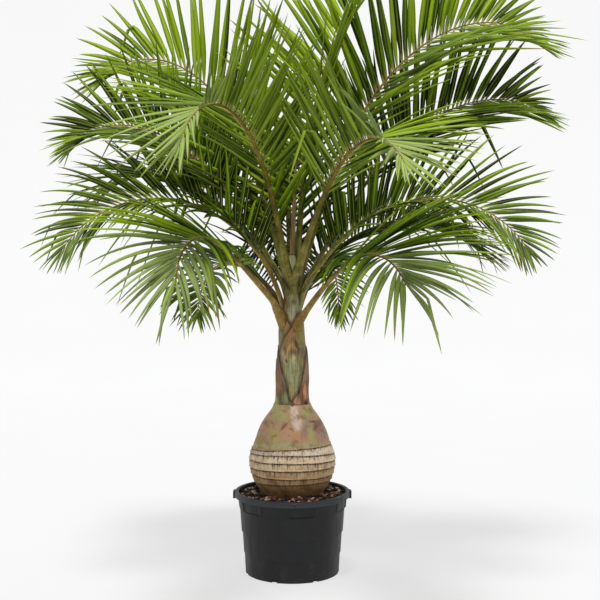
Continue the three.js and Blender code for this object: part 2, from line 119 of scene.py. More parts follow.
def closed_shells(rings, first, last, marks=None, finish=0):
    """Points and faces of shells, from places in mm. Rings has the shape (shells, rows, columns,
    3), or (rows, columns, 3) for one shell. Row r joins row r + 1, the columns go round, and the
    poles first and last close the two ends."""
    rings = MM * rings.reshape((-1,) + rings.shape[-3:])
    shells, rows, cols, _ = rings.shape
    points = np.concatenate([MM * np.reshape(first, (shells, 1, 3)),
                             rings.reshape(shells, rows * cols, 3),
                             MM * np.reshape(last, (shells, 1, 3))], axis=1)
    r, c = np.meshgrid(np.arange(rows - 1), np.arange(cols), indexing="ij")
    here = 1 + r * cols + c
    beside = 1 + r * cols + (c + 1) % cols
    quads = np.stack([here, beside, beside + cols, here + cols], -1).reshape(-1, 4)
    c = np.arange(cols)
    n = (c + 1) % cols
    top = 1 + (rows - 1) * cols
    tris = np.concatenate([np.stack([0 * c, 1 + n, 1 + c], -1),
                           np.stack([0 * c + rows * cols + 1, top + c, top + n], -1)])
    inside_out = (shell_volume(points, quads, tris) < 0)[:, None, None]
    quads = np.where(inside_out, quads[:, ::-1], quads)
    tris = np.where(inside_out, tris[:, ::-1], tris)
    shift = (np.arange(shells) * points.shape[1])[:, None, None]
    values = {}
    for name, mark in (marks or {}).items():
        mark = np.broadcast_to(mark, rings.shape[:3])
        values[name] = np.concatenate([mark[:, 0].mean(1)[:, None], mark.reshape(shells, -1),
                                       mark[:, -1].mean(1)[:, None]], axis=1).ravel()
    return {"points": points.reshape(-1, 3), "quads": (quads + shift).reshape(-1, 4),
            "tris": (tris + shift).reshape(-1, 3), "marks": values, "finish": finish}


def shell_volume(points, quads, tris):
    """Six times each shell's signed volume: the sum of a . (b x c) over its triangles."""
    local = points - points.mean(1, keepdims=True)
    three = np.concatenate([quads[:, [0, 1, 2]], quads[:, [0, 2, 3]], tris])
    a, b, c = (local[:, three[:, k]] for k in range(3))
    return np.einsum("sij,sij->s", a, np.cross(b, c))


# %% From arrays to a piece of the model


def make_piece(name, parts, finishes, node, sharp=50):
    """Join shells into one mesh object that rides on the root and replaces a CAD node. Faces that
    meet at more than sharp degrees keep a hard edge."""
    starts = np.cumsum([0] + [len(p["points"]) for p in parts])[:-1]
    points = np.concatenate([p["points"] for p in parts])
    quads, tris = (np.concatenate([p[key] + s for p, s in zip(parts, starts)])
                   for key in ("quads", "tris"))
    finish = np.concatenate([np.full(len(p[key]), p["finish"])
                             for key in ("quads", "tris") for p in parts])
    corners = np.concatenate([quads.ravel(), tris.ravel()]).astype(np.int32)
    first = np.concatenate([4 * np.arange(len(quads)), 4 * len(quads) + 3 * np.arange(len(tris))])
    mesh = bpy.data.meshes.new(name)
    mesh.vertices.add(len(points))
    mesh.vertices.foreach_set("co", points.astype(np.float32).ravel())
    mesh.loops.add(len(corners))
    mesh.loops.foreach_set("vertex_index", corners)
    mesh.polygons.add(len(first))
    mesh.polygons.foreach_set("loop_start", first.astype(np.int32))
    mesh.polygons.foreach_set("material_index", finish.astype(np.int32))
    mesh.polygons.foreach_set("use_smooth", np.ones(len(first), bool))
    mesh.update(calc_edges=True)
    mesh.validate()
    mesh.set_sharp_from_angle(angle=math.radians(sharp))
    for mark in sorted({m for p in parts for m in p["marks"]}):
        values = np.concatenate([p["marks"].get(mark, np.zeros(len(p["points"])))
                                 for p in parts]).astype(np.float32)
        mesh.attributes.new(mark, "FLOAT", "POINT").data.foreach_set("value", values)
    for material in finishes:
        mesh.materials.append(material)
    piece = bpy.data.objects.new(name, mesh)
    bpy.context.scene.collection.objects.link(piece)
    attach(piece, "root")
    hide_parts(node)
    print(name, "faces:", len(first), "triangles:", 2 * len(quads) + len(tris))


# %% [markdown]
# ## Colours and nodes
# Colours are read off as sRGB hex values, while the renderer works in linear light, so one
# function converts them. One more adds a node, fills or links its inputs and returns an output.
# A noise of scale 100 has features about 1000 / 100 = 10 mm across, which is how each scale below
# follows from a size on the real plant.

# %% Helpers for materials
RAMP = "ValToRGB"
FACTOR, FIRST, SECOND = 0, 6, 7                 # sockets of a colour Mix node
BLEND = {"out": 2, "data_type": "RGBA"}         # its settings, and its output
TINT = {**BLEND, "blend_type": "MULTIPLY"}


def linear(code):
    """An sRGB hex colour as linear RGBA: each channel under 0.04045 is divided by 12.92, and any
    other becomes ((c + 0.055) / 1.055) to the power 2.4."""
    channels = [int(code[k:k + 2], 16) / 255 for k in (1, 3, 5)]
    return tuple(c / 12.92 if c <= 0.04045 else ((c + 0.055) / 1.055) ** 2.4
                 for c in channels) + (1.0,)


def add(tree, kind, inputs=(), out=0, stops=(), **settings):
    """Add one node. Its inputs are given in order or by name or number. Each is a socket to link
    or a value. A text is a colour if it starts with #, and otherwise the name of an attribute of
    the piece. A colour ramp takes its stops as (place, colour) pairs."""
    node = tree.nodes.new("ShaderNode" + kind)
    for key, value in settings.items():
        setattr(node, key, value)
    if stops:
        elements = node.color_ramp.elements
        while len(elements) < len(stops):
            elements.new(1.0)
        for element, (place, colour) in zip(elements, stops):
            element.position = place
            element.color = linear(colour)
    named = inputs if isinstance(inputs, dict) else dict(enumerate(inputs))
    for key, value in named.items():
        if isinstance(value, str):
            value = linear(value) if value.startswith("#") else add(
                tree, "Attribute", out="Fac", attribute_name=value)
        if isinstance(value, bpy.types.NodeSocket):
            tree.links.new(value, node.inputs[key])
        else:
            node.inputs[key].default_value = value
    return node.outputs[out] if len(node.outputs) else None


def new_material(name, surface):
    """A material. The function surface returns its shader, and is given a function that adds a
    node to this material and the Object coordinates."""
    material = bpy.data.materials.new(name)
    material.use_nodes = True
    tree = material.node_tree
    tree.nodes.clear()

    node = partial(add, tree)
    node("OutputMaterial", {"Surface": surface(node, node("TexCoord", out="Object"))})
    return material


# %% [markdown]
# ## Black polypropylene for the pot
# The pot is injection-moulded polypropylene, black with carbon. It has a soft satin skin, faint
# flow marks that run up the wall, and dried dust that settles low down and on the steps.

# %% Pot material


def moulded_polypropylene(node, place):
    streaks = node("Mapping", {"Vector": place, "Scale": (60, 60, 7)})       # 17 mm by 140 mm
    flow = node("TexNoise", {"Vector": streaks, "Scale": 1.0, "Detail": 4.0})
    dust = node("TexNoise", {"Vector": place, "Scale": 26.0, "Detail": 6.0,  # clouds of 38 mm
                             "Roughness": 0.65})
    low = node("SeparateXYZ", [place], out="Z")
    low = node("MapRange", (low, 0.0, 0.12, 0.16, 0.04))
    dust = node(RAMP, [dust], stops=[(0.5, "#000000"), (0.78, "#ffffff")])
    dust = node("Math", (dust, low), operation="MULTIPLY")
    colour = node(RAMP, [flow], stops=[(0.3, "#101114"), (0.7, "#17181b")])
    # The skirt of the rim is painted lighter as a painted highlight, and the drain notches and two
    # step lines are painted near black as painted shade.
    for amount, tone in (("rim", "#313338"), (dust, "#6f675c"), ("hole", "#020202")):
        colour = node("Mix", {FACTOR: amount, FIRST: colour, SECOND: tone}, **BLEND)
    # The real grain is about 0.5 mm; it is drawn at 2.4 mm, so that it shows.
    grain = node("TexNoise", {"Vector": place, "Scale": 420.0, "Detail": 2.0})
    relief = node("Math", (flow, grain), operation="ADD")
    normal = node("Bump", {"Height": relief, "Strength": 0.25, "Distance": 0.0006})
    gloss = node("MapRange", (flow, 0.3, 0.7, 0.42, 0.6))
    return node("BsdfPrincipled", {"Base Color": colour, "Roughness": gloss, "Normal": normal,
                                   "IOR": 1.49, "Specular IOR Level": 0.35})


# %% [markdown]
# ## The nursery pot
# The wall widens upwards in steps, so that empty pots stack. The rim is turned down into a skirt
# with a lifting lug on each side, and upright ribs stiffen the wall under it. All of it is one
# profile carried round the axis, with small changes of radius by bearing.

# %% Pot measurements, in millimetres
POT_STEPS = ((0, 163.5, 163.5), (73, 167, 169.5), (147.5, 174, 177.5), (228, 183, 185),
             (283, 190.5, 190.5))       # height, radius under it, radius over it
POT_WALL, POT_FLOOR = 2.8, 4
SKIRT_RADIUS = 200
LUG_REACH, LUG_HALF_WIDTH, LUG_DROP = 7.5, 13, 8
RIB_COUNT, RIB_FIRST, RIB_HALF_WIDTH, RIB_RAISE = 12, -94.5, 4.5, 2.4
PANEL_HALF_WIDTH, PANEL_DEPTH = 41, 2.0         # shallow panels between pairs of ribs
BAR_RAISE, TAB_RAISE, HOLE_DEPTH = 1.1, 1.6, 4.5
NOTCH_COUNT, NOTCH_FIRST, NOTCH_HALF_WIDTH, NOTCH_DEPTH = 7, -163.4, 9, 10
OUTER, SKIRT, SKIRT_EDGE, INNER = 1, 2, 3, 4    # kinds of row in the profile


def stepped_radius(z):
    """Outer radius of the wall: straight between the steps, with a short ramp at each."""
    heights = [POT_STEPS[0][0]]
    radii = [POT_STEPS[0][2]]
    for height, under, over in POT_STEPS[1:]:
        heights += [height - 0.5, height + 0.5]
        radii += [under, over]
    return np.interp(z, heights, radii)


def pot_inner(z):
    """Inner radius of the wall: the outer one a little lower down, less the wall's thickness."""
    return stepped_radius(z - 2.5) - POT_WALL


def near_bearings(bearing, count, first, half_width, radius, edge=0.8):
    """1 within half_width mm of each of some evenly spaced bearings, 0 elsewhere."""
    step = 360 / count
    off = (bearing - first + step / 2) % step - step / 2
    return 1 - smooth(np.abs(np.radians(off)) * radius, half_width - edge, half_width + edge)


# %% Pot shape


def pot_profile():
    """Rows of radius, height and kind, from the middle of the base, up the outside, over the rim
    and down the inside."""
    rows = [(40, 0, 0), (110, 0, 0), (150, 0, 0), (152.2, 0, 0), (161.8, 0.2, OUTER),
            (163.1, 0.9, OUTER)]
    fine = [h + d for h in (73, 147.5, 228) for d in (-2, -1, -0.5, 0, 0.5, 1, 2)]
    heights = sorted([2, 4, 6, 8.2, 8.9, 9.6, 11, 15, 229.5, 231, 265, 267, 269, 279] + fine
                     + list(np.linspace(20, 262, 42)))
    rows += [(float(stepped_radius(z)), z, OUTER) for z in heights]
    rows += [(190.4, 281.6, 0), (192, 282.6, 0), (195, 282.6, 0), (196.8, 281.4, 0), (197, 272, 0),
             (197.1, 267.2, SKIRT_EDGE), (197.8, 266.2, SKIRT_EDGE), (199, 266, SKIRT_EDGE),
             (199.8, 266.5, SKIRT_EDGE)]
    rows += [(SKIRT_RADIUS, z, SKIRT) for z in np.linspace(267.5, 283.5, 17)]
    rows += [(199.8, 284.8, SKIRT), (199.2, 285.7, SKIRT), (198, 286, SKIRT), (194, 286, 0),
             (190, 286, 0), (188.6, 285.6, 0), (187.9, 284.6, 0), (187.7, 282, 0)]
    rows += [(float(pot_inner(z)), z, INNER) for z in np.linspace(276, 12, 50)]
    return np.array(rows + [(160.7, 9.6, INNER), (160.7, 4.4, INNER), (150, 4, 0), (60, 4, 0)])


def pot_rings(columns=720):
    """The profile at every bearing, with ribs, panels, lugs, drain notches, and a bar and a
    pierced tab on the front of the skirt. Marks say where the rim's skirt gets a painted
    highlight, and where painted shade lies near black in the drain notches and at two steps."""
    bearing = np.arange(columns) * 360 / columns
    r, z, kind = (pot_profile()[:, k:k + 1] + 0 * bearing for k in range(3))
    ribs = near_bearings(bearing, RIB_COUNT, RIB_FIRST, RIB_HALF_WIDTH, 188)
    panel = near_bearings(bearing, RIB_COUNT / 2, RIB_FIRST + 15, PANEL_HALF_WIDTH, 188, 1.0)
    band = smooth(z, 228.6, 229.6) * (1 - smooth(z, 265.5, 267.5))
    r += (kind == OUTER) * band * ribs * RIB_RAISE
    r -= (kind == OUTER) * band * panel * (1 - ribs) * PANEL_DEPTH
    lug = near_bearings(bearing, 2, 0, LUG_HALF_WIDTH, SKIRT_RADIUS, 1.6)
    r += (kind == SKIRT) * lug * LUG_REACH * (1 - 0.25 * smooth(z, 282, 286))
    r += (kind == SKIRT_EDGE) * lug * LUG_REACH * (r > 197.5)
    z -= (kind == SKIRT_EDGE) * lug * LUG_DROP
    front = from_front(bearing)
    bar = smooth(front, 5.2, 5.8) * (1 - smooth(front, 21.5, 22.5))
    r += (kind == SKIRT) * bar * BAR_RAISE * smooth(z, 269, 270) * (1 - smooth(z, 279, 280))
    tab = smooth(front, -0.4, 0.2) * (1 - smooth(front, 4.8, 5.4))
    r += (kind == SKIRT) * tab * TAB_RAISE * (1 - smooth(z, 280, 281.5))
    r -= (kind == SKIRT) * HOLE_DEPTH * np.exp(-((front - 2.4) ** 2 / 0.35
                                                 + (z - 273) ** 2 / 4.5))
    notch = near_bearings(bearing, NOTCH_COUNT, NOTCH_FIRST, NOTCH_HALF_WIDTH, 163, 0.7)
    cut = notch * (1 - smooth(z, 8.4, 9.2))
    r -= (kind == OUTER) * cut * NOTCH_DEPTH
    r -= (kind == INNER) * notch * (1 - smooth(z, 11, 14)) * NOTCH_DEPTH
    # Painted shade: a thin line at the steps of 73 and 147.5 mm and the drain notches are painted
    # near black; the skirt of the rim is painted lighter as a painted highlight.
    shadow = 0.45 * sum(np.exp(-(z - step[0] - 0.4) ** 2) for step in POT_STEPS[1:3])
    return on_circle(r, np.radians(bearing), z), {
        "rim": 1.0 * ((kind == SKIRT) | (kind == SKIRT_EDGE)),
        "hole": (kind == OUTER) * np.maximum(cut, shadow)}


rings, marks = pot_rings()
make_piece("nursery_pot", [closed_shells(rings, (0, 0, 0), (0, 0, POT_FLOOR), marks)],
           [new_material("moulded black polypropylene", moulded_polypropylene)], "pot",
           sharp=32)

# %% [markdown]
# ## Soil
# Dark potting mix fills the pot and shows only in the gaps between the chips. Its top is a lumpy
# dish, highest against the trunk.

# %% Smooth random relief


def lumps(points, size, seed, octaves=3):
    """Smooth noise from -1 to 1 at points in space: a sum of sine waves in random directions,
    with a wavelength near size, each next octave half as long and half as high."""
    draw = np.random.default_rng(seed)
    total = np.zeros(points.shape[:-1])
    for octave in range(octaves):
        for _ in range(6):
            way = draw.normal(size=3)
            way *= 2 * math.pi * 2 ** octave / size / np.linalg.norm(way)
            total += np.sin(points @ way + draw.uniform(0, 6.28)) / 2 ** octave
    return total / (6 * (2 - 0.5 ** (octaves - 1))) * 1.8


SOIL_IN, SOIL_OUT = 112, 187                    # radii where the slope of the soil begins and ends
SOIL_AT_TRUNK, SOIL_AT_WALL = 281, 262          # its heights there
BARK_DEPTH = 9
TRUNK_FOOT, TRUNK_TOP = 238, 592
TRUNK_ROWS = ((238, 96), (262, 108), (281, 112), (291, 113), (300, 119), (312, 127),
              (333, 137.4), (354, 144.4), (379, 149), (400, 150), (427, 144.5), (447, 136.2),
              (473, 127.2), (499, 118.3), (524, 106.4), (549, 90.4), (575, 70.6), (592, 63))


def soil_top(r):
    """Height of the soil in mm at a distance r from the axis: a straight slope to the wall."""
    return np.interp(r, [SOIL_IN, SOIL_OUT], [SOIL_AT_TRUNK, SOIL_AT_WALL])


# %% Soil material and shape


def potting_mix(node, place):
    crumbs = node("TexNoise", {"Vector": place, "Scale": 240.0, "Detail": 6.0})    # 4 mm
    colour = node(RAMP, [crumbs], stops=[(0.35, "#140d09"), (0.6, "#2b1d15"), (0.8, "#4a3426")])
    normal = node("Bump", {"Height": crumbs, "Strength": 0.9, "Distance": 0.003})
    return node("BsdfPrincipled", {"Base Color": colour, "Roughness": 0.95, "Normal": normal})


def soil_rings(columns=240):
    """Up the side from the floor, then inwards over the top and down into the trunk's hole."""
    side = [(160.2, 4.6), (164, 73), (166.3, 76.2), (171.2, 149), (174.2, 151), (179.6, 229),
            (181.9, 231.5)]
    top = [(r, float(soil_top(r))) for r in np.linspace(185, 112.6, 40)]
    rows = np.array(side + top + [(108.5, 262), (96.5, 237.7), (50, 237.6)])
    turn = around(columns)
    points = on_circle(rows[:, :1] + 0 * turn, turn, rows[:, 1:])
    on_top = np.zeros(len(rows))
    on_top[len(side) + 2:len(side) + len(top) - 2] = 1
    points[..., 2] += on_top[:, None] * lumps(points, 24, 5) * 1.6
    return points


make_piece("potting_mix", [closed_shells(soil_rings(), (0, 0, 4.6), (0, 0, 237.6))],
           [new_material("damp peat potting mix", potting_mix)], "potting_soil")

# %% [markdown]
# ## Bark chips
# The mulch is composted pine bark: flat flakes two to four centimetres long, dark outside and
# pinkish tan where they have split. Each chip is four rings of nine points with its own outline,
# tilt and tone, laid over the soil from the trunk to the wall in loose layers.

# %% Bark material


def pine_bark(node, place):
    fibre = node("TexNoise", {"Vector": place, "Scale": 150.0, "Detail": 7.0,      # 7 mm
                              "Roughness": 0.7, "Distortion": 1.2})
    shade = node("Math", (fibre, 0.45, -0.22), operation="MULTIPLY_ADD")
    tone = node("Math", ("tone", shade), operation="ADD", use_clamp=True)
    colour = node(RAMP, [tone], stops=[(0.0, "#170e0a"), (0.25, "#2e1c14"), (0.5, "#6e4836"),
                                       (0.72, "#b07c64"), (0.88, "#cfa58c"), (1.0, "#dcc6b4")])
    normal = node("Bump", {"Height": fibre, "Strength": 0.8, "Distance": 0.002})
    return node("BsdfPrincipled", {"Base Color": colour, "Roughness": 0.82, "Normal": normal})


# %% Bark chips
CHIP_COUNT, CHIP_POINTS = 900, 9
CHIPS_FROM, CHIPS_TO = 124, 181     # distance of their middles from the axis, mm
CHIP_TOP = 15.5                     # no chip is higher than this over the soil, mm
CHIP_LEVELS = np.array([[-0.5, 0.72], [-0.28, 1.0], [0.26, 0.97], [0.5, 0.74]])   # height, reach
GOLDEN_ANGLE = 2.39996


def bark_chips():
    """Chips: an uneven oval outline at four levels, a little bent, turned about X, then Y, then
    Z, and set on the soil. A turn by an angle sends the next two coordinates p and q to
    p cos - q sin and p sin + q cos. Points that would cross the trunk or the wall are moved out
    or in along their radius."""
    draw = np.random.default_rng(23)
    n = CHIP_COUNT
    length = draw.uniform(11, 28, n) * np.where(draw.random(n) < 0.12, 1.7, 1)
    width = length * draw.uniform(0.38, 0.72, n)
    thick = draw.uniform(3, 7, n)
    angle = (np.arange(CHIP_POINTS) + draw.uniform(-0.28, 0.28, (n, CHIP_POINTS))) \
        * 2 * math.pi / CHIP_POINTS
    reach = draw.uniform(0.72, 1.12, (n, CHIP_POINTS))
    square = (np.abs(np.cos(angle)) ** 3 + np.abs(np.sin(angle)) ** 3) ** (-1 / 3)
    up, out = CHIP_LEVELS.T[:, None, :, None]
    body = np.stack([(0.5 * length[:, None] * reach * square * np.cos(angle))[:, None] * out,
                     (0.5 * width[:, None] * reach * square * np.sin(angle))[:, None] * out,
                     thick[:, None, None] * up + draw.normal(0, 0.5, (n, 4, CHIP_POINTS))], -1)
    bend = draw.uniform(-0.012, 0.012, n)[:, None, None]
    body[..., 2] += bend * body[..., 0] ** 2
    tilts = draw.normal(0, 0.22, n), draw.normal(0, 0.22, n), draw.uniform(0, 6.28, n)
    poles = np.stack([body[:, 0].mean(1), body[:, 3].mean(1)], 1)
    solid = np.concatenate([body.reshape(n, -1, 3), poles], 1)
    for axis, tilt in enumerate(tilts):
        cos, sin = np.cos(tilt)[:, None], np.sin(tilt)[:, None]
        i, j = (axis + 1) % 3, (axis + 2) % 3
        p, q = solid[..., i].copy(), solid[..., j].copy()
        solid[..., i], solid[..., j] = p * cos - q * sin, p * sin + q * cos
    share = (np.arange(n) + 0.5) / n
    middle = np.sqrt(CHIPS_FROM ** 2 + share * (CHIPS_TO ** 2 - CHIPS_FROM ** 2))
    bearing = np.arange(n) * GOLDEN_ANGLE + draw.normal(0, 0.05, n)
    layer = draw.uniform(1.5, BARK_DEPTH + 1.5, n)
    solid += on_circle(middle, bearing, soil_top(middle) + layer)[:, None]
    r = np.hypot(solid[..., 0], solid[..., 1])
    solid[..., 2] = np.minimum(solid[..., 2], soil_top(r) + CHIP_TOP)
    trunk = np.interp(solid[..., 2], *np.array(TRUNK_ROWS).T)
    solid[..., :2] *= (np.clip(r, trunk + 1.2, pot_inner(solid[..., 2]) - 1) / r)[..., None]
    tone = np.clip(draw.choice([0.05, 0.2, 0.45, 0.75, 0.92], n, p=[0.34, 0.22, 0.14, 0.17, 0.13])
                   + draw.normal(0, 0.05, n), 0, 1)
    tone = np.where(draw.random(n) < 0.8, tone, tone * 0.6)
    return closed_shells(solid[:, :-2].reshape(body.shape), solid[:, -2], solid[:, -1],
                         {"tone": tone[:, None, None]})


make_piece("bark_chips", [bark_chips()], [new_material("composted pine bark", pine_bark)],
           "bark_mulch", sharp=28)

# %% [markdown]
# ## The trunk
# The swollen trunk stores water. Old leaf bases have left rings round it: each is a raised lip
# with a dark groove under it, and the pale bands between them are split by fine upright cracks.
# Above the top ring the skin is still smooth, blotched olive, tan and purple-brown, with a pale
# scar at the front. Rings tilt a little, so their height is a function of the bearing too.

# %% Marks painted on the skin
# Each ring: mean height, how much higher it is at the front, how much higher on the right (mm).
RINGS = ((444, 7, 8), (421, 10, 0), (399, 6, -1), (374, 5, 2), (350, 0, 0), (325, 5, 4))
LIP_HEIGHT, GROOVE_DEPTH = 3.0, 2.4
SKIN = "#a28a68"
TRUNK_LIFT = (1.36, 1.3, 1.36)      # red, green and blue, to make up for the crown's shade
BRIGHTEST = 0.85                    # the lightest linear value of painted skin
# Each mark: the pixel of its middle, its reach across and up (pixels), how far it leans, and its
# colour. A later mark lies over an earlier one.
TRUNK_MARKS = (
    (262, 430, 9, 13, 0.4, "#9f8069"), (323, 431, 9, 13, -0.4, "#967a6c"),
    (277, 410, 9, 11, 0.4, "#9c9a64"), (274, 436, 5, 8, 0.2, "#a3945a"),
    (260, 440, 8, 5, 0.2, "#8a8050"), (308, 412, 5, 9, -0.3, "#94945e"),
    (318, 424, 5, 6, -0.5, "#74594a"), (288, 432, 8, 8, 0, "#a98665"),
    (299, 437, 9, 6, 0, "#ab8058"), (306, 428, 4, 12, -0.35, "#8b7268"),
    (282, 446, 36, 2.8, 0, "#999a6c"), (294.5, 412, 4.5, 12, 0.1, "#c8b3a0"),
    (297, 424, 5, 7, 0, "#c6b2a4"), (301, 404, 4, 6, 0.2, "#a88878"),
    (312, 436, 3.2, 12, 0.35, "#95985e"), (284.5, 426, 2.4, 5, -0.9, "#805a40"),
    (313, 421.5, 4, 1.2, 0.12, "#5f4733"), (292.5, 405, 1.8, 1.8, 0, "#35271d"),
    (288, 402.5, 2, 1.5, 0, "#4a3628"), (291, 429, 2.6, 1.4, 0.6, "#84604e"),
    (298, 417, 1.6, 2.6, 0.3, "#927466"), (266, 424, 3, 4, 0.5, "#8c6b50"))


def spots(pixels, marks, ragged):
    """Strength of each mark at each pixel: exp(-d^2), with d the distance in reaches, shaken by
    a smooth noise and then cut to a short soft edge, so that a mark has a ragged outline."""
    strength = []
    for x, y, across, up, lean, *_ in marks:
        dy = pixels[..., 1] - y
        dx = pixels[..., 0] - x - lean * dy
        inside = np.exp(-(dx / across) ** 2 - (dy / up) ** 2)
        strength.append(0.88 * smooth(inside * (1 + 0.5 * ragged), 0.1, 0.85))
    return strength


def facing(points):
    """1 on the half of the trunk that is seen, fading to 0 behind its sides."""
    front = -points[..., 1] / np.maximum(np.hypot(points[..., 0], points[..., 1]), 1e-6)
    return smooth(front, -0.35, -0.05)


def mixed(colour, code, share):
    """Linear colours moved towards a hex colour by a share."""
    return colour + (np.array(linear(code)[:3]) - colour) * share[..., None]


def painted(points, colour, marks, seed, lift):
    """The marks red, green and blue: a linear colour for each point (in mm), mixed with each
    mark's colour in turn by the strength of that mark, on the side that faces the viewer, and
    then multiplied by lift, up to a brightest value."""
    ragged = lumps(points * [1, 1, 0.45], 11, seed, 4)
    near = facing(points)
    for mark, inside in zip(marks, spots(picture_pixel(MM * points), marks, ragged)):
        colour = mixed(colour, mark[5], inside * near)
    colour = np.clip(colour * lift, 0, BRIGHTEST)
    return dict(zip(("red", "green", "blue"), np.moveaxis(colour, -1, 0)))


# %% Trunk shape


def trunk_part(columns=330):
    """Radius at height z and bearing a: a smooth curve through the measured rows, plus a lip and
    a groove at each ring, a slight bulge between rings, and slow lumps."""
    z = np.concatenate([[240, 255, 270, 282, 290], np.arange(296, 456, 0.85),
                        np.arange(457, 592, 1.9)])[:, None]
    turn = around(columns)
    fine = np.linspace(TRUNK_FOOT, TRUNK_TOP, 1200)
    curve = np.convolve(np.pad(np.interp(fine, *np.array(TRUNK_ROWS).T), 30, mode="edge"),
                        np.hanning(61) / np.hanning(61).sum(), mode="valid")
    r = np.interp(z, fine, curve) + np.zeros(columns)
    levels = np.array([h - f * np.sin(turn) + s * np.cos(turn) for h, f, s in RINGS])
    levels += np.array([lumps(on_circle(1 + 0 * turn, turn, 0), 0.5, 40 + k) * 1.3
                        for k in range(len(RINGS))])
    groove, band, fringe = np.zeros((3,) + r.shape)
    for k, level in enumerate(levels):
        off = z - level
        r += LIP_HEIGHT * np.exp(-((off - 1.6) / 2.6) ** 2)
        r -= GROOVE_DEPTH * np.exp(-((off + 2.4) / 2.1) ** 2)
        # The groove mask paints a dark line in each groove under the ring's lip: partly the ring's
        # own dark scar, partly painted shade under the lip.
        groove = np.maximum(groove, np.exp(-((off + 1.6) / 2.5) ** 2))
        band = np.where(off < 0, (k + 1) / len(RINGS), band)
        fringe = np.where(off < 0, np.exp(-((off + 2) / 17) ** 2), fringe)
    gap = np.min(np.abs(z - levels[:, None]), axis=0)
    under = z < levels[0]
    r += np.where(under, 0.12 * np.minimum(gap, 12), 0)
    points = on_circle(r, turn, z)
    r += np.where(under, lumps(points, 26, 61) * 0.7, lumps(points, 60, 62) * 1.1)
    points = on_circle(r, turn, z)
    skin = np.array(linear(SKIN)[:3]) * np.ones(points.shape)
    return closed_shells(points, (0, 0, TRUNK_FOOT), (0, 0, TRUNK_TOP), {
        "groove": groove, "band": band, "fringe": fringe, "ringed": smooth(levels[0] - z, -2, 2),
        **painted(points, skin, TRUNK_MARKS, 63, TRUNK_LIFT)})


# %% Trunk material


def palm_bark(node, place):
    upright = node("Mapping", {"Vector": place, "Scale": (210, 210, 16)})     # 5 mm by 60 mm
    streak = node("TexNoise", {"Vector": upright, "Scale": 1.0, "Detail": 4.0, "Roughness": 0.6})
    reach = node("Math", ("fringe", 0.14, -0.645), operation="MULTIPLY_ADD")
    cracks = node("Math", (streak, reach), operation="ADD")
    cracks = node("MapRange", (cracks, 0.0, 0.08, 0.0, 0.85))
    blotch = node("TexNoise", {"Vector": place, "Scale": 34.0, "Detail": 6.0,     # 30 mm
                               "Roughness": 0.6})
    pale = node(RAMP, [blotch], stops=[(0.3, "#b0947a"), (0.45, "#dcc5aa"), (0.6, "#f2e4cf"),
                                       (0.75, "#caab90")])
    low = node(RAMP, ["band"], stops=[(0.0, "#ffffff"), (0.4, "#fbf4e8"), (0.7, "#cdb898"),
                                      (1.0, "#97805f")])
    ringed = node("Mix", {FACTOR: 1.0, FIRST: pale, SECOND: low}, **TINT)
    # The dark dashed line in each groove is partly the ring's own scar and partly painted shade
    # under the ring's lip.
    stitch = node("MapRange", (streak, 0.38, 0.56, 0.45, 1.2))
    line = node("Math", ("groove", stitch), operation="MULTIPLY", use_clamp=True)
    for amount, tone in ((cracks, "#6b4a34"), (line, "#3a2618")):
        ringed = node("Mix", {FACTOR: amount, FIRST: ringed, SECOND: tone}, **BLEND)
    mottle = node(RAMP, [blotch], stops=[(0.3, "#b4a08c"), (0.5, "#ffffff"), (0.7, "#efe6d2")])
    paint = node("CombineColor", ("red", "green", "blue"))
    skin = node("Mix", {FACTOR: 0.8, FIRST: paint, SECOND: mottle}, **TINT)
    colour = node("Mix", {FACTOR: "ringed", FIRST: skin, SECOND: ringed}, **BLEND)
    grain = node("TexNoise", {"Vector": place, "Scale": 260.0, "Detail": 4.0})    # 4 mm
    depth = node("Math", (cracks, "ringed"), operation="MULTIPLY")
    height = node("Math", (depth, -1.0, grain), operation="MULTIPLY_ADD")
    normal = node("Bump", {"Height": height, "Strength": 0.7, "Distance": 0.0018})
    return node("BsdfPrincipled", {"Base Color": colour, "Roughness": 0.68, "Normal": normal,
                                   "Specular IOR Level": 0.35})


make_piece("ringed_trunk", [trunk_part()], [new_material("ringed palm bark", palm_bark)],
           "trunk", sharp=70)

# %% [markdown]
# ## The crownshaft
# Each leaf base is a sheath rolled round the younger ones. The oldest sheath is a torn brown
# collar, open in a V at the front. Above it two orange-green sheaths cross at the front, and the
# youngest shows pale green between them. A sheath is a step in the radius: it is there wherever
# the height is under its edge, and the edge's height is a function of the bearing.

# %% Crownshaft measurements
# Bearings here run from the front, to the right; heights and thicknesses are in millimetres.
SHAFT_ROWS = ((592.4, 58.2), (612, 54.6), (650, 51.2), (704, 49.2), (772, 46.8), (805, 43.8),
              (830, 41.8), (865, 39.4), (905, 36.5), (950, 31.5), (1000, 26), (1045, 20),
              (1085, 14), (1108, 10))
COLLAR_EDGE = ((-180, 788), (-120, 792), (-90, 796), (-75, 786), (-62, 760), (-35, 702),
               (-24, 678), (-10, 614), (-3, 604), (4, 612), (23, 641), (39, 692), (46, 708),
               (60, 755), (75, 784), (90, 795), (120, 790), (180, 788))
RIGHT_EDGE = ((-180, 770), (-110, 735), (-68, 760), (-36, 823), (-4, 864), (30, 905), (47, 912),
              (75, 900), (110, 860), (180, 770))
LEFT_EDGE = ((-180, 800), (-120, 850), (-90, 885), (-60, 925), (-29, 895), (-4, 864), (30, 825),
             (80, 790), (120, 780), (180, 800))
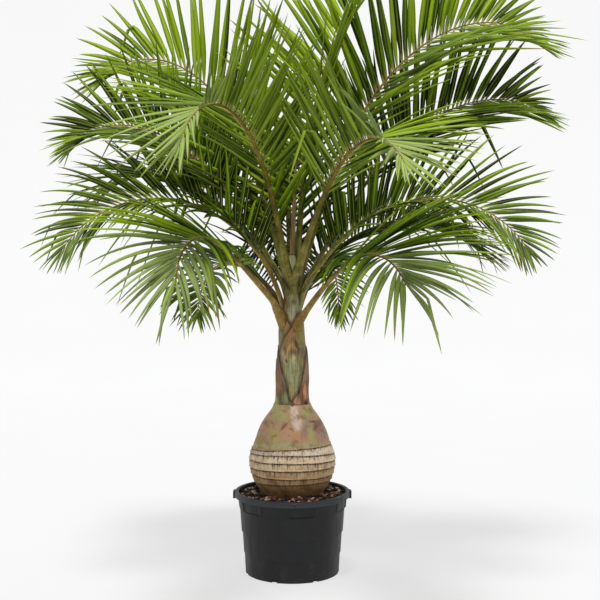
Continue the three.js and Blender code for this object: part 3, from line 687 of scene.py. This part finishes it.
# Each sheath: its edge, its thickness, the share of that gained at the free edge, its colour.
SHEATHS = ((LEFT_EDGE, 2.2, -0.2, "#8c7750"), (RIGHT_EDGE, 2.4, -0.2, "#8d7e4e"),
           (COLLAR_EDGE, 4.2, -0.6, "#74543c"))
YOUNGEST = "#8d9072"
# Red, green and blue: the painted colours of the shaft are made lighter by this, to make up for
# the crown's shade.
SHAFT_LIFT = (1.24, 1.16, 1.06)
SHAFT_FOOT, SHAFT_TOP, MEAN_RADIUS = 592.4, 1110, 45
SWELLING, SWELLING_HEIGHT, SWELLING_REACH = 5.5, 850, 45
# The near-black marks are painted shade: the hollow between the frond feet above the collar, and
# the shaded inner side of the collar at its left and right tops.
SHAFT_MARKS = (
    (281, 300, 3, 11, 0, "#5b6249"), (286.5, 302, 3, 9, 0.3, "#83604c"),
    (303, 297, 3, 10, 0, "#75695a"), (292.5, 314, 5, 9, 0, "#a4a88e"),
    (294, 302, 3, 3, 0, "#6d5a3c"), (285, 282, 5, 7, 0.4, "#1d150f"),
    (285, 319, 6, 11, 0.5, "#8f6a48"), (280, 334, 3, 16, 0, "#807e5a"),
    (301, 320, 4.6, 12, -0.3, "#a0713e"), (301.5, 340, 4.6, 10, 0, "#94905c"),
    (291.5, 332, 1.9, 10, -0.6, "#9c6650"), (295, 329, 2, 5, -0.4, "#926350"),
    (288, 347, 3.6, 9, -0.35, "#8d6648"), (289, 349, 2.6, 9, -0.4, "#b2925c"),
    (296.5, 345, 1.9, 8, 0.35, "#463b32"), (293, 353, 4.5, 5, 0, "#66543a"),
    (302, 354, 4.5, 6, 0, "#80735f"), (292, 376, 12, 19, 0, "#999f7e"),
    (284.5, 357, 2, 8, 0.25, "#a6a08e"), (286.8, 361.5, 1.4, 2.4, 0.4, "#43392a"),
    (293.5, 360, 3, 6, 0.1, "#aeb094"), (300.5, 366, 2, 7, 0.25, "#738a50"),
    (288, 368, 1.6, 6, 0, "#7f9560"), (293, 392, 5, 9, 0, "#98996a"),
    (278.5, 366, 2.6, 16, 0.08, "#7d5a46"), (278.6, 386, 1.5, 12, 0.05, "#9c6a36"),
    (280, 396, 2, 7, 0.1, "#544a22"), (284, 386, 2.6, 9, 0.2, "#665a44"),
    (286, 399, 4.6, 7, 0, "#80936a"), (305, 372, 3.4, 12, -0.1, "#9d806e"),
    (300.5, 391, 1.8, 8, -0.5, "#6b4636"), (305, 391, 2.4, 9, 0.1, "#cf9068"),
    (297, 401, 3.6, 7, 0.3, "#b8937c"), (306, 402.5, 2.4, 2.2, 0, "#3f2215"),
    (275, 403, 4, 8, 0, "#99a055"), (311, 404, 3, 7, 0, "#949a52"),
    (277.9, 350.5, 1.1, 9, 0.07, "#17100b"), (306.8, 351, 1.0, 7, 0.27, "#1d140d"))


def sheath_part(columns=320):
    """Radius at height z and bearing: the inner column plus the thickness of every sheath whose
    edge is higher than z there. The step falls off over about a millimetre, measured square to
    the edge. Low down the sheaths thin out into the trunk, and the left side swells where a low
    frond leaves it."""
    z = np.concatenate([np.arange(592.6, 925, 1.15), np.arange(927, 1108, 4.0)])[:, None]
    turn = around(columns)
    r = np.interp(z, *np.array(SHAFT_ROWS).T) + np.zeros(columns)
    colour = np.array(linear(YOUNGEST)[:3]) * np.ones(r.shape + (3,))
    grown = 0.45 + 0.55 * smooth(z, 600, 690)
    r += SWELLING * np.exp(-((z - SWELLING_HEIGHT) / SWELLING_REACH) ** 2) \
        * np.maximum(0, -np.cos(turn))
    rim, shade = np.zeros((2,) + r.shape)
    for seed, (edge, thick, flare, code) in enumerate(SHEATHS):
        line = np.interp(from_front(np.degrees(turn)), *np.array(edge).T) \
            + lumps(on_circle(30 + 0 * turn, turn, 0), 22, 80 + seed) * 3
        slope = np.gradient(line) / (2 * math.pi * MEAN_RADIUS / columns)
        drop = (line - z) / np.sqrt(1 + slope ** 2)
        there = smooth(drop, -0.8, 1.6)
        r += thick * there * grown * (1 + flare * np.exp(-(drop / 30) ** 2))
        colour = mixed(colour, code, there)
        # rim paints shade as a dark line along each sheath's free edge; shade paints a softer band
        # of shade just above it.
        rim = rim * (1 - there) + np.exp(-((drop - 1.2) / 2.2) ** 2)
        shade = shade * (1 - there) + np.exp(-((drop + 3) / 4.5) ** 2) * (drop < 0)
    r += lumps(on_circle(r, turn, z) * [1, 1, 0.3], 30, 90) * 0.8
    points = on_circle(r, turn, z)
    return closed_shells(points, (0, 0, SHAFT_FOOT), (0, 0, SHAFT_TOP), {
        "rim": np.clip(rim, 0, 1), "shade": np.clip(shade, 0, 1),
        **painted(points, colour, SHAFT_MARKS, 64, SHAFT_LIFT)})


# %% Sheath material


def leaf_sheath(node, place):
    fibres = node("Mapping", {"Vector": place, "Scale": (230, 230, 12)})      # 4 mm by 80 mm
    fibre = node("TexNoise", {"Vector": fibres, "Scale": 1.0, "Detail": 4.0})
    blotch = node("TexNoise", {"Vector": place, "Scale": 60.0, "Detail": 6.0,     # 17 mm
                               "Roughness": 0.62})
    mottle = node(RAMP, [blotch], stops=[(0.3, "#bdae9c"), (0.5, "#ffffff"), (0.7, "#f3ecd8")])
    paint = node("CombineColor", ("red", "green", "blue"))
    colour = node("Mix", {FACTOR: 0.7, FIRST: paint, SECOND: mottle}, **TINT)
    # Painted shade along the sheaths' edges and just above them, made patchy by the blotches.
    blotchy = node("Math", (blotch, 1.6, 0.1), operation="MULTIPLY_ADD")
    for mark, tone, most in (("shade", "#33261a", 0.6), ("rim", "#22130a", 0.95)):
        amount = node("Math", (mark, blotchy), operation="MULTIPLY", use_clamp=True)
        amount = node("Math", (amount, most), operation="MULTIPLY")
        colour = node("Mix", {FACTOR: amount, FIRST: colour, SECOND: tone}, **BLEND)
    veins = node(RAMP, [fibre], stops=[(0.35, "#b3ab98"), (0.55, "#ffffff")])
    colour = node("Mix", {FACTOR: 0.8, FIRST: colour, SECOND: veins}, **TINT)
    normal = node("Bump", {"Height": fibre, "Strength": 0.5, "Distance": 0.001})
    return node("BsdfPrincipled", {"Base Color": colour, "Roughness": 0.5, "Normal": normal,
                                   "Specular IOR Level": 0.35})


make_piece("rolled_sheaths", [sheath_part()], [new_material("waxy leaf sheath", leaf_sheath)],
           "crownshaft", sharp=60)

# %% [markdown]
# ## Frond list
# Sixteen fronds leave the shaft. Each midrib starts steep and bends over under its own weight.
# Its slope falls from a first to a last value as a power of the distance along it, and its
# bearing turns slowly, so seven numbers place a whole frond.

# %% Fronds
# Height of the foot (mm), bearing and swing, first and last slope, power of the bend, length
# (mm), roll of the leaflet plane, longest leaflet (mm), droop, thickness of the foot (mm), sun
# (painted light: how bright and yellow the leaflets are painted, high on lit fronds and low on
# shaded ones) and width of a leaflet (mm). Angles are in degrees; bearing 0 is +X and -90 is the
# front.
Frond = namedtuple("Frond", "foot bearing swing rise fall bend length roll blade droop thick sun "
                            "width")
FRONDS = {name: Frond(*numbers) for name, *numbers in (
    ("left_high", 1017, 140, 19, 71, -36, 2.67, 1294, 56, 490, 0.14, 18, 0.86, 24),
    ("right_high", 1019, 5, 26, 74, -21, 2.17, 1440, -56, 460, 0.13, 18, 0.78, 24),
    ("top", 1066, 45, -8, 85, 29, 1.85, 1348, 0, 450, 0.12, 16, 1.00, 24),
    ("right_middle", 979, 12, 6.6, 60.6, -19.3, 2.30, 1210, -50, 400, 0.22, 18, 0.35, 22),
    ("left_middle", 1014, 176, -8.7, 58.4, -43.3, 2.75, 1030, 50, 350, 0.22, 18, 0.40, 21),
    ("front_left", 1012, -112, -3, 65, -68, 2.36, 1102, -15, 400, 0.22, 20, 0.92, 20),
    ("front_right", 1023, -69, -5, 50, -39, 1.91, 1103, 15, 390, 0.24, 20, 0.94, 20),
    ("left_low", 929, 192, 8, 74, -60, 1.20, 1010, 40, 320, 0.46, 18, 0.35, 17),
    ("right_low", 962, -14, -10, 62, -59, 1.37, 985, -45, 320, 0.28, 18, 0.35, 17),
    ("front_left_low", 897, -126, 27, 36, -71, 3.00, 861, 12, 430, 0.50, 22, 0.64, 19),
    ("front_right_low", 871, -61, -12, 37, -40, 2.02, 848, -12, 490, 0.42, 22, 0.66, 19),
    ("back_left", 1000, 152, -4, 54, -32, 1.73, 963, 25, 400, 0.30, 18, 0.35, 18),
    ("back_right", 1000, 32, -10, 49, -32, 1.02, 856, -25, 400, 0.50, 18, 0.20, 18),
    ("back_middle", 955, 95, 0, 72, -50, 1.70, 1150, 0, 400, 0.45, 18, 0.15, 20),
    ("back_left_low", 898, 128, -26, 49, -57, 1.01, 937, 0, 340, 0.55, 18, 0.30, 17),
    ("back_right_low", 890, 75, 4, 32, -91, 2.26, 940, 0, 250, 0.40, 18, 0.50, 16))}
# Painted sheen towards the end of the frond (a painted highlight), length of the leaflets on the
# row that faces the trunk (as a share of the other row), the shortest leaflet near the tip (as a
# share of the longest), how far the leaflets lift (as a share of the rule below) and how many have
# a dry tip.
Look = namedtuple("Look", "bloom inner least rising dried")
USUAL = Look(0.0, 1.0, 0.28, 1.0, 0.09)
LOOKS = {"front_left_low": Look(0.90, 0.40, 0.50, 0.55, 0.30),
         "front_right_low": Look(0.80, 0.36, 0.50, 0.55, 0.30)}
for side in ("left", "right"):
    LOOKS[side + "_high"] = USUAL._replace(dried=0.05)
    LOOKS["front_" + side] = USUAL._replace(bloom=0.90, dried=0.12)
    LOOKS[side + "_low"] = USUAL._replace(bloom=0.25, dried=0.15)
FOOT_SHARE = 0.14         # share of a midrib that belongs to the crownshaft
BARE_SHARE = 0.36         # share of a midrib without leaflets
BARE_SHARE_BACK = 0.14    # the same on the fronds of the back
BARE_SHARE_LOW = 0.20     # the same on the low fronds of the sides
STEPS = 240               # steps in which a midrib is added up
print("fronds:", len(FRONDS), "longest:", max(f.length for f in FRONDS.values()), "mm")


def heading(frond, share):
    """Unit direction of a midrib: slope = rise - (rise - fall) * share^bend, and
    bearing = bearing + swing * share^1.5."""
    slope = np.radians(frond.rise - (frond.rise - frond.fall) * share ** frond.bend)
    plan = np.radians(frond.bearing + frond.swing * share ** 1.5)
    return on_circle(np.cos(slope), plan, np.sin(slope))


def midrib_points(frond, share):
    """Points on a midrib in mm: the running sum of its headings, from its foot on the shaft."""
    start = np.interp(frond.foot, [850, 1000, 1150, 1250], [34, 26, 16, 8])
    middle = (np.arange(STEPS) + 0.5) / STEPS
    run = np.cumsum(heading(frond, middle), axis=0) * frond.length / STEPS
    run = np.concatenate([np.zeros((1, 3)), run])
    run += on_circle(start, math.radians(frond.bearing), frond.foot)
    return np.stack([np.interp(share, np.linspace(0, 1, STEPS + 1), way) for way in run.T], -1)


def unit(v):
    """Vectors divided by their length."""
    return v / np.maximum(np.linalg.norm(v, axis=-1, keepdims=True), 1e-9)


def frond_axes(frond, share):
    """Along, across and up at places on a midrib. Across is level, then both are rolled."""
    along = heading(frond, share)
    level = unit(np.cross(along, [0, 0, 1]))
    normal = np.cross(level, along)
    roll = math.radians(frond.roll)
    across = level * math.cos(roll) + normal * math.sin(roll)
    return along, across, normal * math.cos(roll) - level * math.sin(roll)


# %% [markdown]
# ## Midribs
# A midrib is flat or slightly hollow on top and round below. Its section is carried along the
# path and shrinks from a broad foot, where it is still a sheath, to a thin tip.

# %% Midrib sections
# Places where little light comes in between the feet: pixel, reaches and lean, as for the marks.
HOLLOWS = ((286.5, 284, 2.6, 9, 0.5), (293, 261, 1.8, 8, 0.1), (299, 281, 1.3, 9, -0.15))
MOVED, MOVED_LEFT = FRONDS["front_left_low"], 17      # its foot starts so much further left, mm


def ribbed_tube(path, along, half_width, half_depth, foot, rust, sides):
    """A tube along a path. At angle a the section is half_width * cos a across, and
    half_depth * sin a up, with the upper half flattened to 0.55 of that."""
    level = unit(np.cross(along, [0, 0, 1]))
    normal = np.cross(level, along)
    a = around(sides)
    up = np.where(np.sin(a) > 0, 0.55, 1.0) * np.sin(a)
    rings = path[:, None] + half_width[:, None, None] * np.cos(a)[None, :, None] * level[:, None] \
        + half_depth[:, None, None] * up[None, :, None] * normal[:, None]
    marks = {"foot": foot[:, None], "rust": rust[:, None],
             "edge": smooth(np.abs(np.cos(a)), 0.86, 1.0) * foot[:, None],
             "below": smooth(-np.sin(a), -0.3, 0.6)}
    return closed_shells(rings, path[0], path[-1], marks)


def midrib_half(share):
    """Half-width of a midrib in mm, straight between a few places along it."""
    return np.interp(share, [0, FOOT_SHARE, 0.25, 0.36, 0.5, 0.75, 1],
                     [15, 12.2, 10.8, 9, 6.2, 4, 1.4])


def age(frond):
    """1 on the lowest, oldest fronds, whose stalks are rusty, and 0 on the high ones."""
    return smooth(-frond.foot, -990, -900)


def foot_part(frond):
    """The foot of a frond: it rises inside the shaft, leans out and narrows to the midrib."""
    first = midrib_points(frond, np.zeros(1))[0]
    rough = np.concatenate([[first * [0.5, 0.5, 1] - [0, 0, 90]],
                            [first * [0.85, 0.85, 1] - [0, 0, 38]],
                            midrib_points(frond, np.linspace(0.012, FOOT_SHARE + 0.001, 12))])
    chord = np.concatenate([[0], np.cumsum(np.linalg.norm(np.diff(rough, axis=0), axis=1))])
    t = np.linspace(0, 1, 40)
    path = np.stack([np.interp(t, chord / chord[-1], way) for way in rough.T], -1)
    for _ in range(6):
        path[1:-1] = 0.25 * path[:-2] + 0.5 * path[1:-1] + 0.25 * path[2:]
    path[:, 0] -= (frond == MOVED) * MOVED_LEFT * (1 - smooth(t, 0.4, 0.95))
    along = unit(np.gradient(path, axis=0))
    along[-1] = heading(frond, np.array([FOOT_SHARE]))[0]
    end, thick = float(midrib_half(FOOT_SHARE)), frond.thick
    wide = np.interp(t, [0, 0.2, 0.4, 0.55, 0.8, 1],
                     [thick * 0.2, thick * 0.55, thick, thick * 0.95, end + 1.5, end])
    deep = np.interp(t, [0, 0.4, 1], [thick * 0.5, thick * 0.6, end * 0.85])
    rust = 0.8 * smooth(t, 0.12, 0.45) * (1 - 0.45 * t) * age(frond)
    part = ribbed_tube(path, along, wide, deep, 1 - t, rust, sides=20)
    part["marks"]["hollow"] = facing(part["points"]) \
        * sum(spots(picture_pixel(part["points"]), HOLLOWS, 0))
    return part


def midrib_part(frond):
    """The midrib beyond its foot: a tube along its path, a little less deep than wide."""
    share = np.linspace(FOOT_SHARE, 1, 90)
    half = midrib_half(share)
    rust = (1 - 0.6 * share) * np.maximum(0.6 * smooth(share, 0.25, 0.5), 0.5 * age(frond))
    return ribbed_tube(midrib_points(frond, share), heading(frond, share), half, half * 0.85,
                       0 * share, rust, sides=12)


# %% Midrib material
# Each tone: the place of the middle colour in its ramp, and the three colours of the ramp.
STALK_TONES = ((0.5, "#3f4a14", "#5e6422", "#7b7c3a"),       # above
               (0.5, "#56520f", "#7a701c", "#958c3a"),       # below
               (0.5, "#7a6f38", "#938d4e", "#a3a270"),       # at the foot
               (0.55, "#82501f", "#9a7430", "#b08344"))      # rusty with age


def green_petiole(node, place):
    blotch = node("TexNoise", {"Vector": place, "Scale": 22.0, "Detail": 5.0})    # 45 mm
    colour, under, low, blotchy = (node(RAMP, [blotch], stops=list(zip((0.3, middle, 0.7), tones)))
                                for middle, *tones in STALK_TONES)
    foot = node("Math", ("foot", 0.85), operation="MULTIPLY")
    edge = node("Math", ("edge", 0.9), operation="MULTIPLY", use_clamp=True)
    for amount, tone in (("below", under), (foot, low), ("rust", blotchy), (edge, "#35210f"),
                         ("hollow", "#20150d")):
        colour = node("Mix", {FACTOR: amount, FIRST: colour, SECOND: tone}, **BLEND)
    streaks = node("Mapping", {"Vector": place, "Scale": (200, 200, 30)})     # 5 mm by 33 mm
    fibre = node("TexNoise", {"Vector": streaks, "Scale": 1.0, "Detail": 4.0})
    vein = node(RAMP, [fibre], stops=[(0.38, "#b0a488"), (0.56, "#ffffff")])
    colour = node("Mix", {FACTOR: 0.7, FIRST: colour, SECOND: vein}, **TINT)
    normal = node("Bump", {"Height": fibre, "Strength": 0.3, "Distance": 0.0006})
    return node("BsdfPrincipled", {"Base Color": colour, "Roughness": 0.42, "Normal": normal,
                                   "Specular IOR Level": 0.2})


petiole = new_material("palm petiole", green_petiole)
make_piece("frond_feet", [foot_part(f) for f in FRONDS.values()], [petiole],
           "crownshaft", sharp=60)

# %% [markdown]
# ## Leaflets
# Each leaflet is a long blade folded along its middle like a roof, stiff at its root and drooping
# towards its tip. Leaving the midrib it leans forward and lifts, less and less towards the end of
# the frond, where the last pairs fan out almost straight ahead. Seeded draws vary every blade.

# %% Leaflet rules, by distance u along the leafy part
LEAF_LENGTH = ([0, 0.12, 0.35, 0.7, 0.9, 1], [0.72, 0.92, 1, 0.84, 0.55, 0.28])
LEAF_ANGLE = ([0, 0.3, 0.7, 0.9, 1], [60, 54, 44, 34, 14])
LEAF_LIFT = ([0, 0.3, 0.7, 1], [40, 36, 26, 8])
LEAF_WIDTH = ([0, 0.15, 0.8, 1], [0.8, 1, 0.9, 0.7])
PAIRS = 46
LEAF_THICK = 0.7          # mm
LEAF_ROWS = 12
WIDEST = 0.3              # place along a blade where it is widest
BLADE_ROOT = 0.3          # width at its root, as a share of the widest
HANGING = 1.6             # extra droop of the row that faces the trunk
KINKED = 0.3              # chance that a blade is bent over, for each unit of droop
FOLD = 0.62               # how far a side hangs, as a share of its width
ACROSS = np.array([-1, -0.5, 0, 0.5, 1, 0.5, 0, -0.5])       # places round a blade's section
UPPER = np.array([0, 1, 1, 1, 0, -1, -1, -1]) * 0.5          # its upper and lower face


def blade_form(t):
    """Half-width of a blade, as a share of the widest: from BLADE_ROOT it grows as a quarter sine
    up to the place WIDEST, and from there it falls as (1 - t)^0.65."""
    grow = BLADE_ROOT + (1 - BLADE_ROOT) * np.sin(np.clip(t / WIDEST, 0, 1) * math.pi / 2)
    return np.where(t < WIDEST, grow, np.clip((1 - t) / (1 - WIDEST), 0.0005, 1) ** 0.65)


def leaflet_part(frond, look, seed):
    """All leaflets of a frond. A blade's path adds up unit steps in the direction out + down *
    droop * level * t^1.3, with level the level share of out. Some are bent over from one place
    on. Across a blade, its sides hang FOLD of the way out, like a roof."""
    draw = np.random.default_rng(seed)
    u = np.repeat(np.linspace(0, 1, PAIRS), 2)
    side = np.tile([-1.0, 1.0], PAIRS)
    n = len(u)
    back = math.sin(math.radians(frond.bearing))
    low = frond.foot < 970 and back > -0.3
    bare = BARE_SHARE_BACK if back > 0.3 else BARE_SHARE_LOW if low else BARE_SHARE
    share = np.clip(bare + (1 - bare) * (u * 0.985 + side * 0.004 + draw.normal(0, 0.0022, n)),
                    0, 1)
    along, across, up = frond_axes(frond, share)
    angle = np.radians(np.interp(u, *LEAF_ANGLE) + draw.normal(0, 3.0, n))
    lift = np.radians(np.interp(u, *LEAF_LIFT) * look.rising + draw.normal(0, 5.0, n))
    out = along * np.cos(angle)[:, None] \
        + across * (side * np.sin(angle) * np.cos(lift))[:, None] \
        + up * (np.sin(angle) * np.sin(lift))[:, None]
    length = frond.blade * np.maximum(np.interp(u, *LEAF_LENGTH), look.least) \
        * (1 + draw.normal(0, 0.05, n))
    droop = frond.droop * draw.uniform(0.6, 1.5, n)
    # On the low front fronds, the row that faces the trunk hangs, has lost half its leaflets and
    # is short at first.
    inward = across[:, 0] * side * math.cos(math.radians(frond.bearing)) < 0
    short = 1 - look.inner
    length *= np.where(inward, look.inner + short * 0.85 * smooth(u, 0.4, 0.6), 1)
    droop += np.where(inward, HANGING * short, 0)
    kink = (draw.random(n) < KINKED * (frond.droop - 0.12)) * draw.uniform(1.0, 2.4, n)
    kept = ~(inward & (short > 0) & (np.arange(n) // 2 % 2 == 0))
    broken = draw.uniform(0.3, 0.6, n)[:, None]
    t = np.linspace(0, 1, LEAF_ROWS + 1)
    level = np.sqrt(np.maximum(0, 1 - out[:, 2] ** 2))
    down = 1.2 * (droop * level)[:, None] * t ** 1.3 \
        + kink[:, None] * smooth(t[None], broken, broken + 0.12)
    wide = unit(along - out * (along * out).sum(-1, keepdims=True))
    curl = draw.normal(0, 0.07, n)[:, None, None] * (t ** 2)[None, :, None]
    way = unit(out[:, None] - down[..., None] * [0, 0, 1] + wide[:, None] * curl)
    step = way[:, :-1] * (length / LEAF_ROWS)[:, None, None]
    root = midrib_points(frond, share)
    path = root[:, None] + np.concatenate([np.zeros((n, 1, 3)), np.cumsum(step, axis=1)], axis=1)
    wide = unit(wide[:, None] - way * (wide[:, None] * way).sum(-1, keepdims=True))
    face = np.cross(wide, way)
    face *= np.sign((face * up[:, None]).sum(-1, keepdims=True))
    twist = draw.normal(0, 0.35, n)[:, None, None] * t[None, :, None]
    wide, face = (wide * np.cos(twist) + face * np.sin(twist),
                  face * np.cos(twist) - wide * np.sin(twist))
    half = 0.5 * frond.width * draw.uniform(0.85, 1.12, n)[:, None] * blade_form(t) \
        * np.interp(u, *LEAF_WIDTH)[:, None]
    path, wide, face, half = (v[:, :-1, None] for v in (path, wide, face, half[..., None]))
    x = ACROSS[:, None]
    rings = path + wide * half * x - face * (FOLD * half * np.abs(x)) \
        + face * (UPPER * LEAF_THICK)[:, None]
    underside = 0.2 * smooth(-across[:, 2] * side, 0.2, 0.6) * smooth(frond.foot, 970, 1000)
    marks = {"tint": draw.random(n),
             # sun: painted light on lit fronds and painted shade on shaded ones, darker towards
             # the frond's foot.
             "sun": frond.sun + draw.normal(0, 0.1, n) - 0.25 * (1 - u),
             # pale paints sheen towards the end of a frond, and makes the row of a high frond that
             # tips down a little paler.
             "pale": np.maximum(look.bloom * smooth(u, 0.55, 0.8), underside),
             "dry": (draw.random(n) < look.dried) * draw.uniform(0.3, 1, n)}
    marks = {key: mark[kept, None, None] for key, mark in marks.items()}
    marks.update(along=t[:-1, None], across=ACROSS, under=0.5 - UPPER)
    tips = root + np.cumsum(step, axis=1)[:, -1]
    return closed_shells(rings[kept], root[kept], tips[kept], marks, finish=1)


# %% Leaflet material


def palm_leaf(node, place):
    mottle = node("TexNoise", {"Vector": place, "Scale": 14.0, "Detail": 4.0})    # 70 mm
    amount = node("Math", ("tint", 1.0, -0.5), operation="MULTIPLY_ADD")
    # The sun mark is painted light: lit fronds are painted brighter and yellower, shaded ones
    # darker.
    amount = node("Math", ("sun", amount), operation="ADD")
    wander = node("Math", (mottle, 0.4, -0.2), operation="MULTIPLY_ADD")
    # Darker at the root of each leaflet and lighter towards its tip.
    lighter_to_tip = node("MapRange", ("along", 0.0, 0.8, -0.22, 0.22))
    wander = node("Math", (wander, lighter_to_tip), operation="ADD")
    amount = node("Math", (amount, wander), operation="ADD", use_clamp=True)
    upper = node(RAMP, [amount], stops=[(0.0, "#182807"), (0.3, "#3f5e06"), (0.6, "#76980a"),
                                        (1.0, "#a6c416")])
    lower = node(RAMP, [amount], stops=[(0.0, "#3a5218"), (0.5, "#74902f"), (1.0, "#a6c044")])
    colour = node("Mix", {FACTOR: "under", FIRST: upper, SECOND: lower}, **BLEND)
    # Painted sheen, in patches, where the pale mark says.
    bloom = node("MapRange", (mottle, 0.25, 0.6, 0.45, 0.85))
    bloom = node("Math", (bloom, "pale"), operation="MULTIPLY")
    # Painted highlight along the middle fold of each leaflet and painted shade at its edges, as if
    # the fold caught the light and the sides hung in shade.
    side = node("Math", ["across"], operation="ABSOLUTE")
    painted_margin_shade = node("MapRange", (side, 0.5, 1.0, 0.0, 0.6))
    painted_ridge_highlight = node("MapRange", (side, 0.0, 0.35, 0.55, 0.0))
    root = node("MapRange", ("along", 0.015, 0.075, 0.9, 0.0))
    tip = node("MapRange", ("along", 0.72, 0.92, 0.0, 1.0))
    tip = node("Math", (tip, "dry"), operation="MULTIPLY")
    for amount, tone in ((bloom, "#b1c283"), (painted_margin_shade, "#1c2e08"), (painted_ridge_highlight, "#aebd4a"),
                         (root, "#c4bd74"), (tip, "#a98a58")):
        colour = node("Mix", {FACTOR: amount, FIRST: colour, SECOND: tone}, **BLEND)
    veins = node("Math", ("across", 40.0), operation="MULTIPLY")        # 1.5 mm apart
    veins = node("Math", [veins], operation="SINE")
    normal = node("Bump", {"Height": veins, "Strength": 0.25, "Distance": 0.0004})
    gloss = node("MapRange", (mottle, 0.3, 0.7, 0.38, 0.55))
    shader = node("BsdfPrincipled", {"Base Color": colour, "Roughness": gloss, "Normal": normal,
                                     "Specular IOR Level": 0.26, "Specular Tint": "#d3e58c"})
    glow = node("BsdfTranslucent", {"Color": colour})
    return node("MixShader", (0.25, shader, glow))


leaf = new_material("living palm leaf", palm_leaf)
for number, (name, frond) in enumerate(FRONDS.items()):
    leaflets = leaflet_part(frond, LOOKS.get(name, USUAL), 300 + number)
    make_piece("leafy_frond_" + name, [midrib_part(frond), leaflets], [petiole, leaf],
               "frond_" + name)

# %% [markdown]
# ## The spear
# The next leaf stands closed in the middle of the crown, a tapering rod with its leaflets still
# folded together, reddish brown and green.

# %% Spear shape and material
SPEAR_FOOT, SPEAR_TIP, SPEAR_HALF = 1110.4, 1440, 11
SPEAR_LEAN = (14, -12)


def spear_part(rows=60, sides=36):
    """A tapering rod: radius falls from the foot to the tip, with a wavy section that turns
    slowly round, like a rolled leaf."""
    t = np.linspace(0, 1, rows)[:, None]
    path = np.concatenate([SPEAR_LEAN[0] * t, SPEAR_LEAN[1] * t,
                           SPEAR_FOOT + (SPEAR_TIP - SPEAR_FOOT) * t], -1)
    radius = SPEAR_HALF * np.interp(t, [0, 0.3, 0.65, 1], [1, 0.8, 0.55, 0.14])
    a = around(sides)
    fold = 1 - 0.16 * np.abs(np.sin(2.5 * a + 3 * t))
    return closed_shells(path[:, None] + on_circle(radius * fold, a, 0), path[0], path[-1])


def young_leaf(node, place):
    streaks = node("Mapping", {"Vector": place, "Scale": (260, 260, 12)})     # 4 mm by 80 mm
    fibre = node("TexNoise", {"Vector": streaks, "Scale": 1.0, "Detail": 3.0})
    colour = node(RAMP, [fibre], stops=[(0.3, "#4a3014"), (0.5, "#7d6840"), (0.7, "#9a8458")])
    normal = node("Bump", {"Height": fibre, "Strength": 0.5, "Distance": 0.001})
    return node("BsdfPrincipled", {"Base Color": colour, "Roughness": 0.5, "Normal": normal})


make_piece("closed_spear", [spear_part()], [new_material("closed young leaf", young_leaf)],
           "spear_leaf", sharp=60)

# %% [markdown]
# ## Floor and light
# A plain pale floor runs back and curves up into a backdrop, so that no horizon shows. One broad
# soft lamp hangs overhead, a little towards the viewer, and the white room fills the shadows.

# %% Floor
FLOOR_HALF, FLOOR_BACK, SWEEP_RADIUS, SWEEP_TOP = 9.0, 5.0, 2.5, 9.0      # metres
FLOOR_GAP = 0.0004


def studio_sweep(rows=40):
    """The floor: a line in side view, level, then a quarter circle, then upright, carried from
    left to right. It lies a little under the pot, so that the two don't share a plane."""
    a = np.linspace(0, math.pi / 2, rows)
    y = np.concatenate([[-FLOOR_HALF], FLOOR_BACK + SWEEP_RADIUS * np.sin(a),
                        [FLOOR_BACK + SWEEP_RADIUS]])
    z = np.concatenate([[0.0], SWEEP_RADIUS * (1 - np.cos(a)), [SWEEP_TOP]]) - FLOOR_GAP
    points = [(x, yy, zz) for yy, zz in zip(y, z) for x in (-FLOOR_HALF, FLOOR_HALF)]
    faces = [(2 * k, 2 * k + 1, 2 * k + 3, 2 * k + 2) for k in range(len(y) - 1)]
    mesh = bpy.data.meshes.new("studio_floor")
    mesh.from_pydata(points, [], faces)
    mesh.polygons.foreach_set("use_smooth", np.ones(len(faces), bool))
    return mesh


def studio_paint(node, place):
    cloud = node("TexNoise", {"Vector": place, "Scale": 1.5, "Detail": 3.0})      # 0.7 m
    colour = node(RAMP, [cloud], stops=[(0.3, "#777778"), (0.7, "#797979")])
    height = node("SeparateXYZ", [place], out="Z")
    washed = node("MapRange", (height, 0.3, 2.5, 0.659, 0.773))
    return node("BsdfPrincipled", {"Base Color": colour, "Roughness": 0.9,
                                   "Specular IOR Level": 0.0, "Emission Color": "#ffffff",
                                   "Emission Strength": washed})


floor = bpy.data.objects.new("studio_floor", studio_sweep())
floor.data.materials.append(new_material("matt white studio paint", studio_paint))
bpy.context.scene.collection.objects.link(floor)
print("floor:", 2 * FLOOR_HALF, "m wide, backdrop:", SWEEP_TOP, "m high")

# %% Lights
WORLD_STRENGTH = 0.42
SUN_STRENGTH = 3.5
SUN_SPREAD = 15           # degrees across, as a large soft lamp would look from the plant
SUN_TURN = (15, -4, 0)    # degrees about X, Y and Z from straight down

world = bpy.data.worlds.new("studio")
world.use_nodes = True
background = world.node_tree.nodes["Background"]
background.inputs["Color"].default_value = (1, 1, 1, 1)
background.inputs["Strength"].default_value = WORLD_STRENGTH
bpy.context.scene.world = world
sun_data = bpy.data.lights.new("overhead", "SUN")
sun_data.energy = SUN_STRENGTH
sun_data.angle = math.radians(SUN_SPREAD)
sun = bpy.data.objects.new("overhead", sun_data)
sun.rotation_euler = tuple(math.radians(a) for a in SUN_TURN)
bpy.context.scene.collection.objects.link(sun)
print("lamp:", SUN_STRENGTH, "room:", WORLD_STRENGTH)
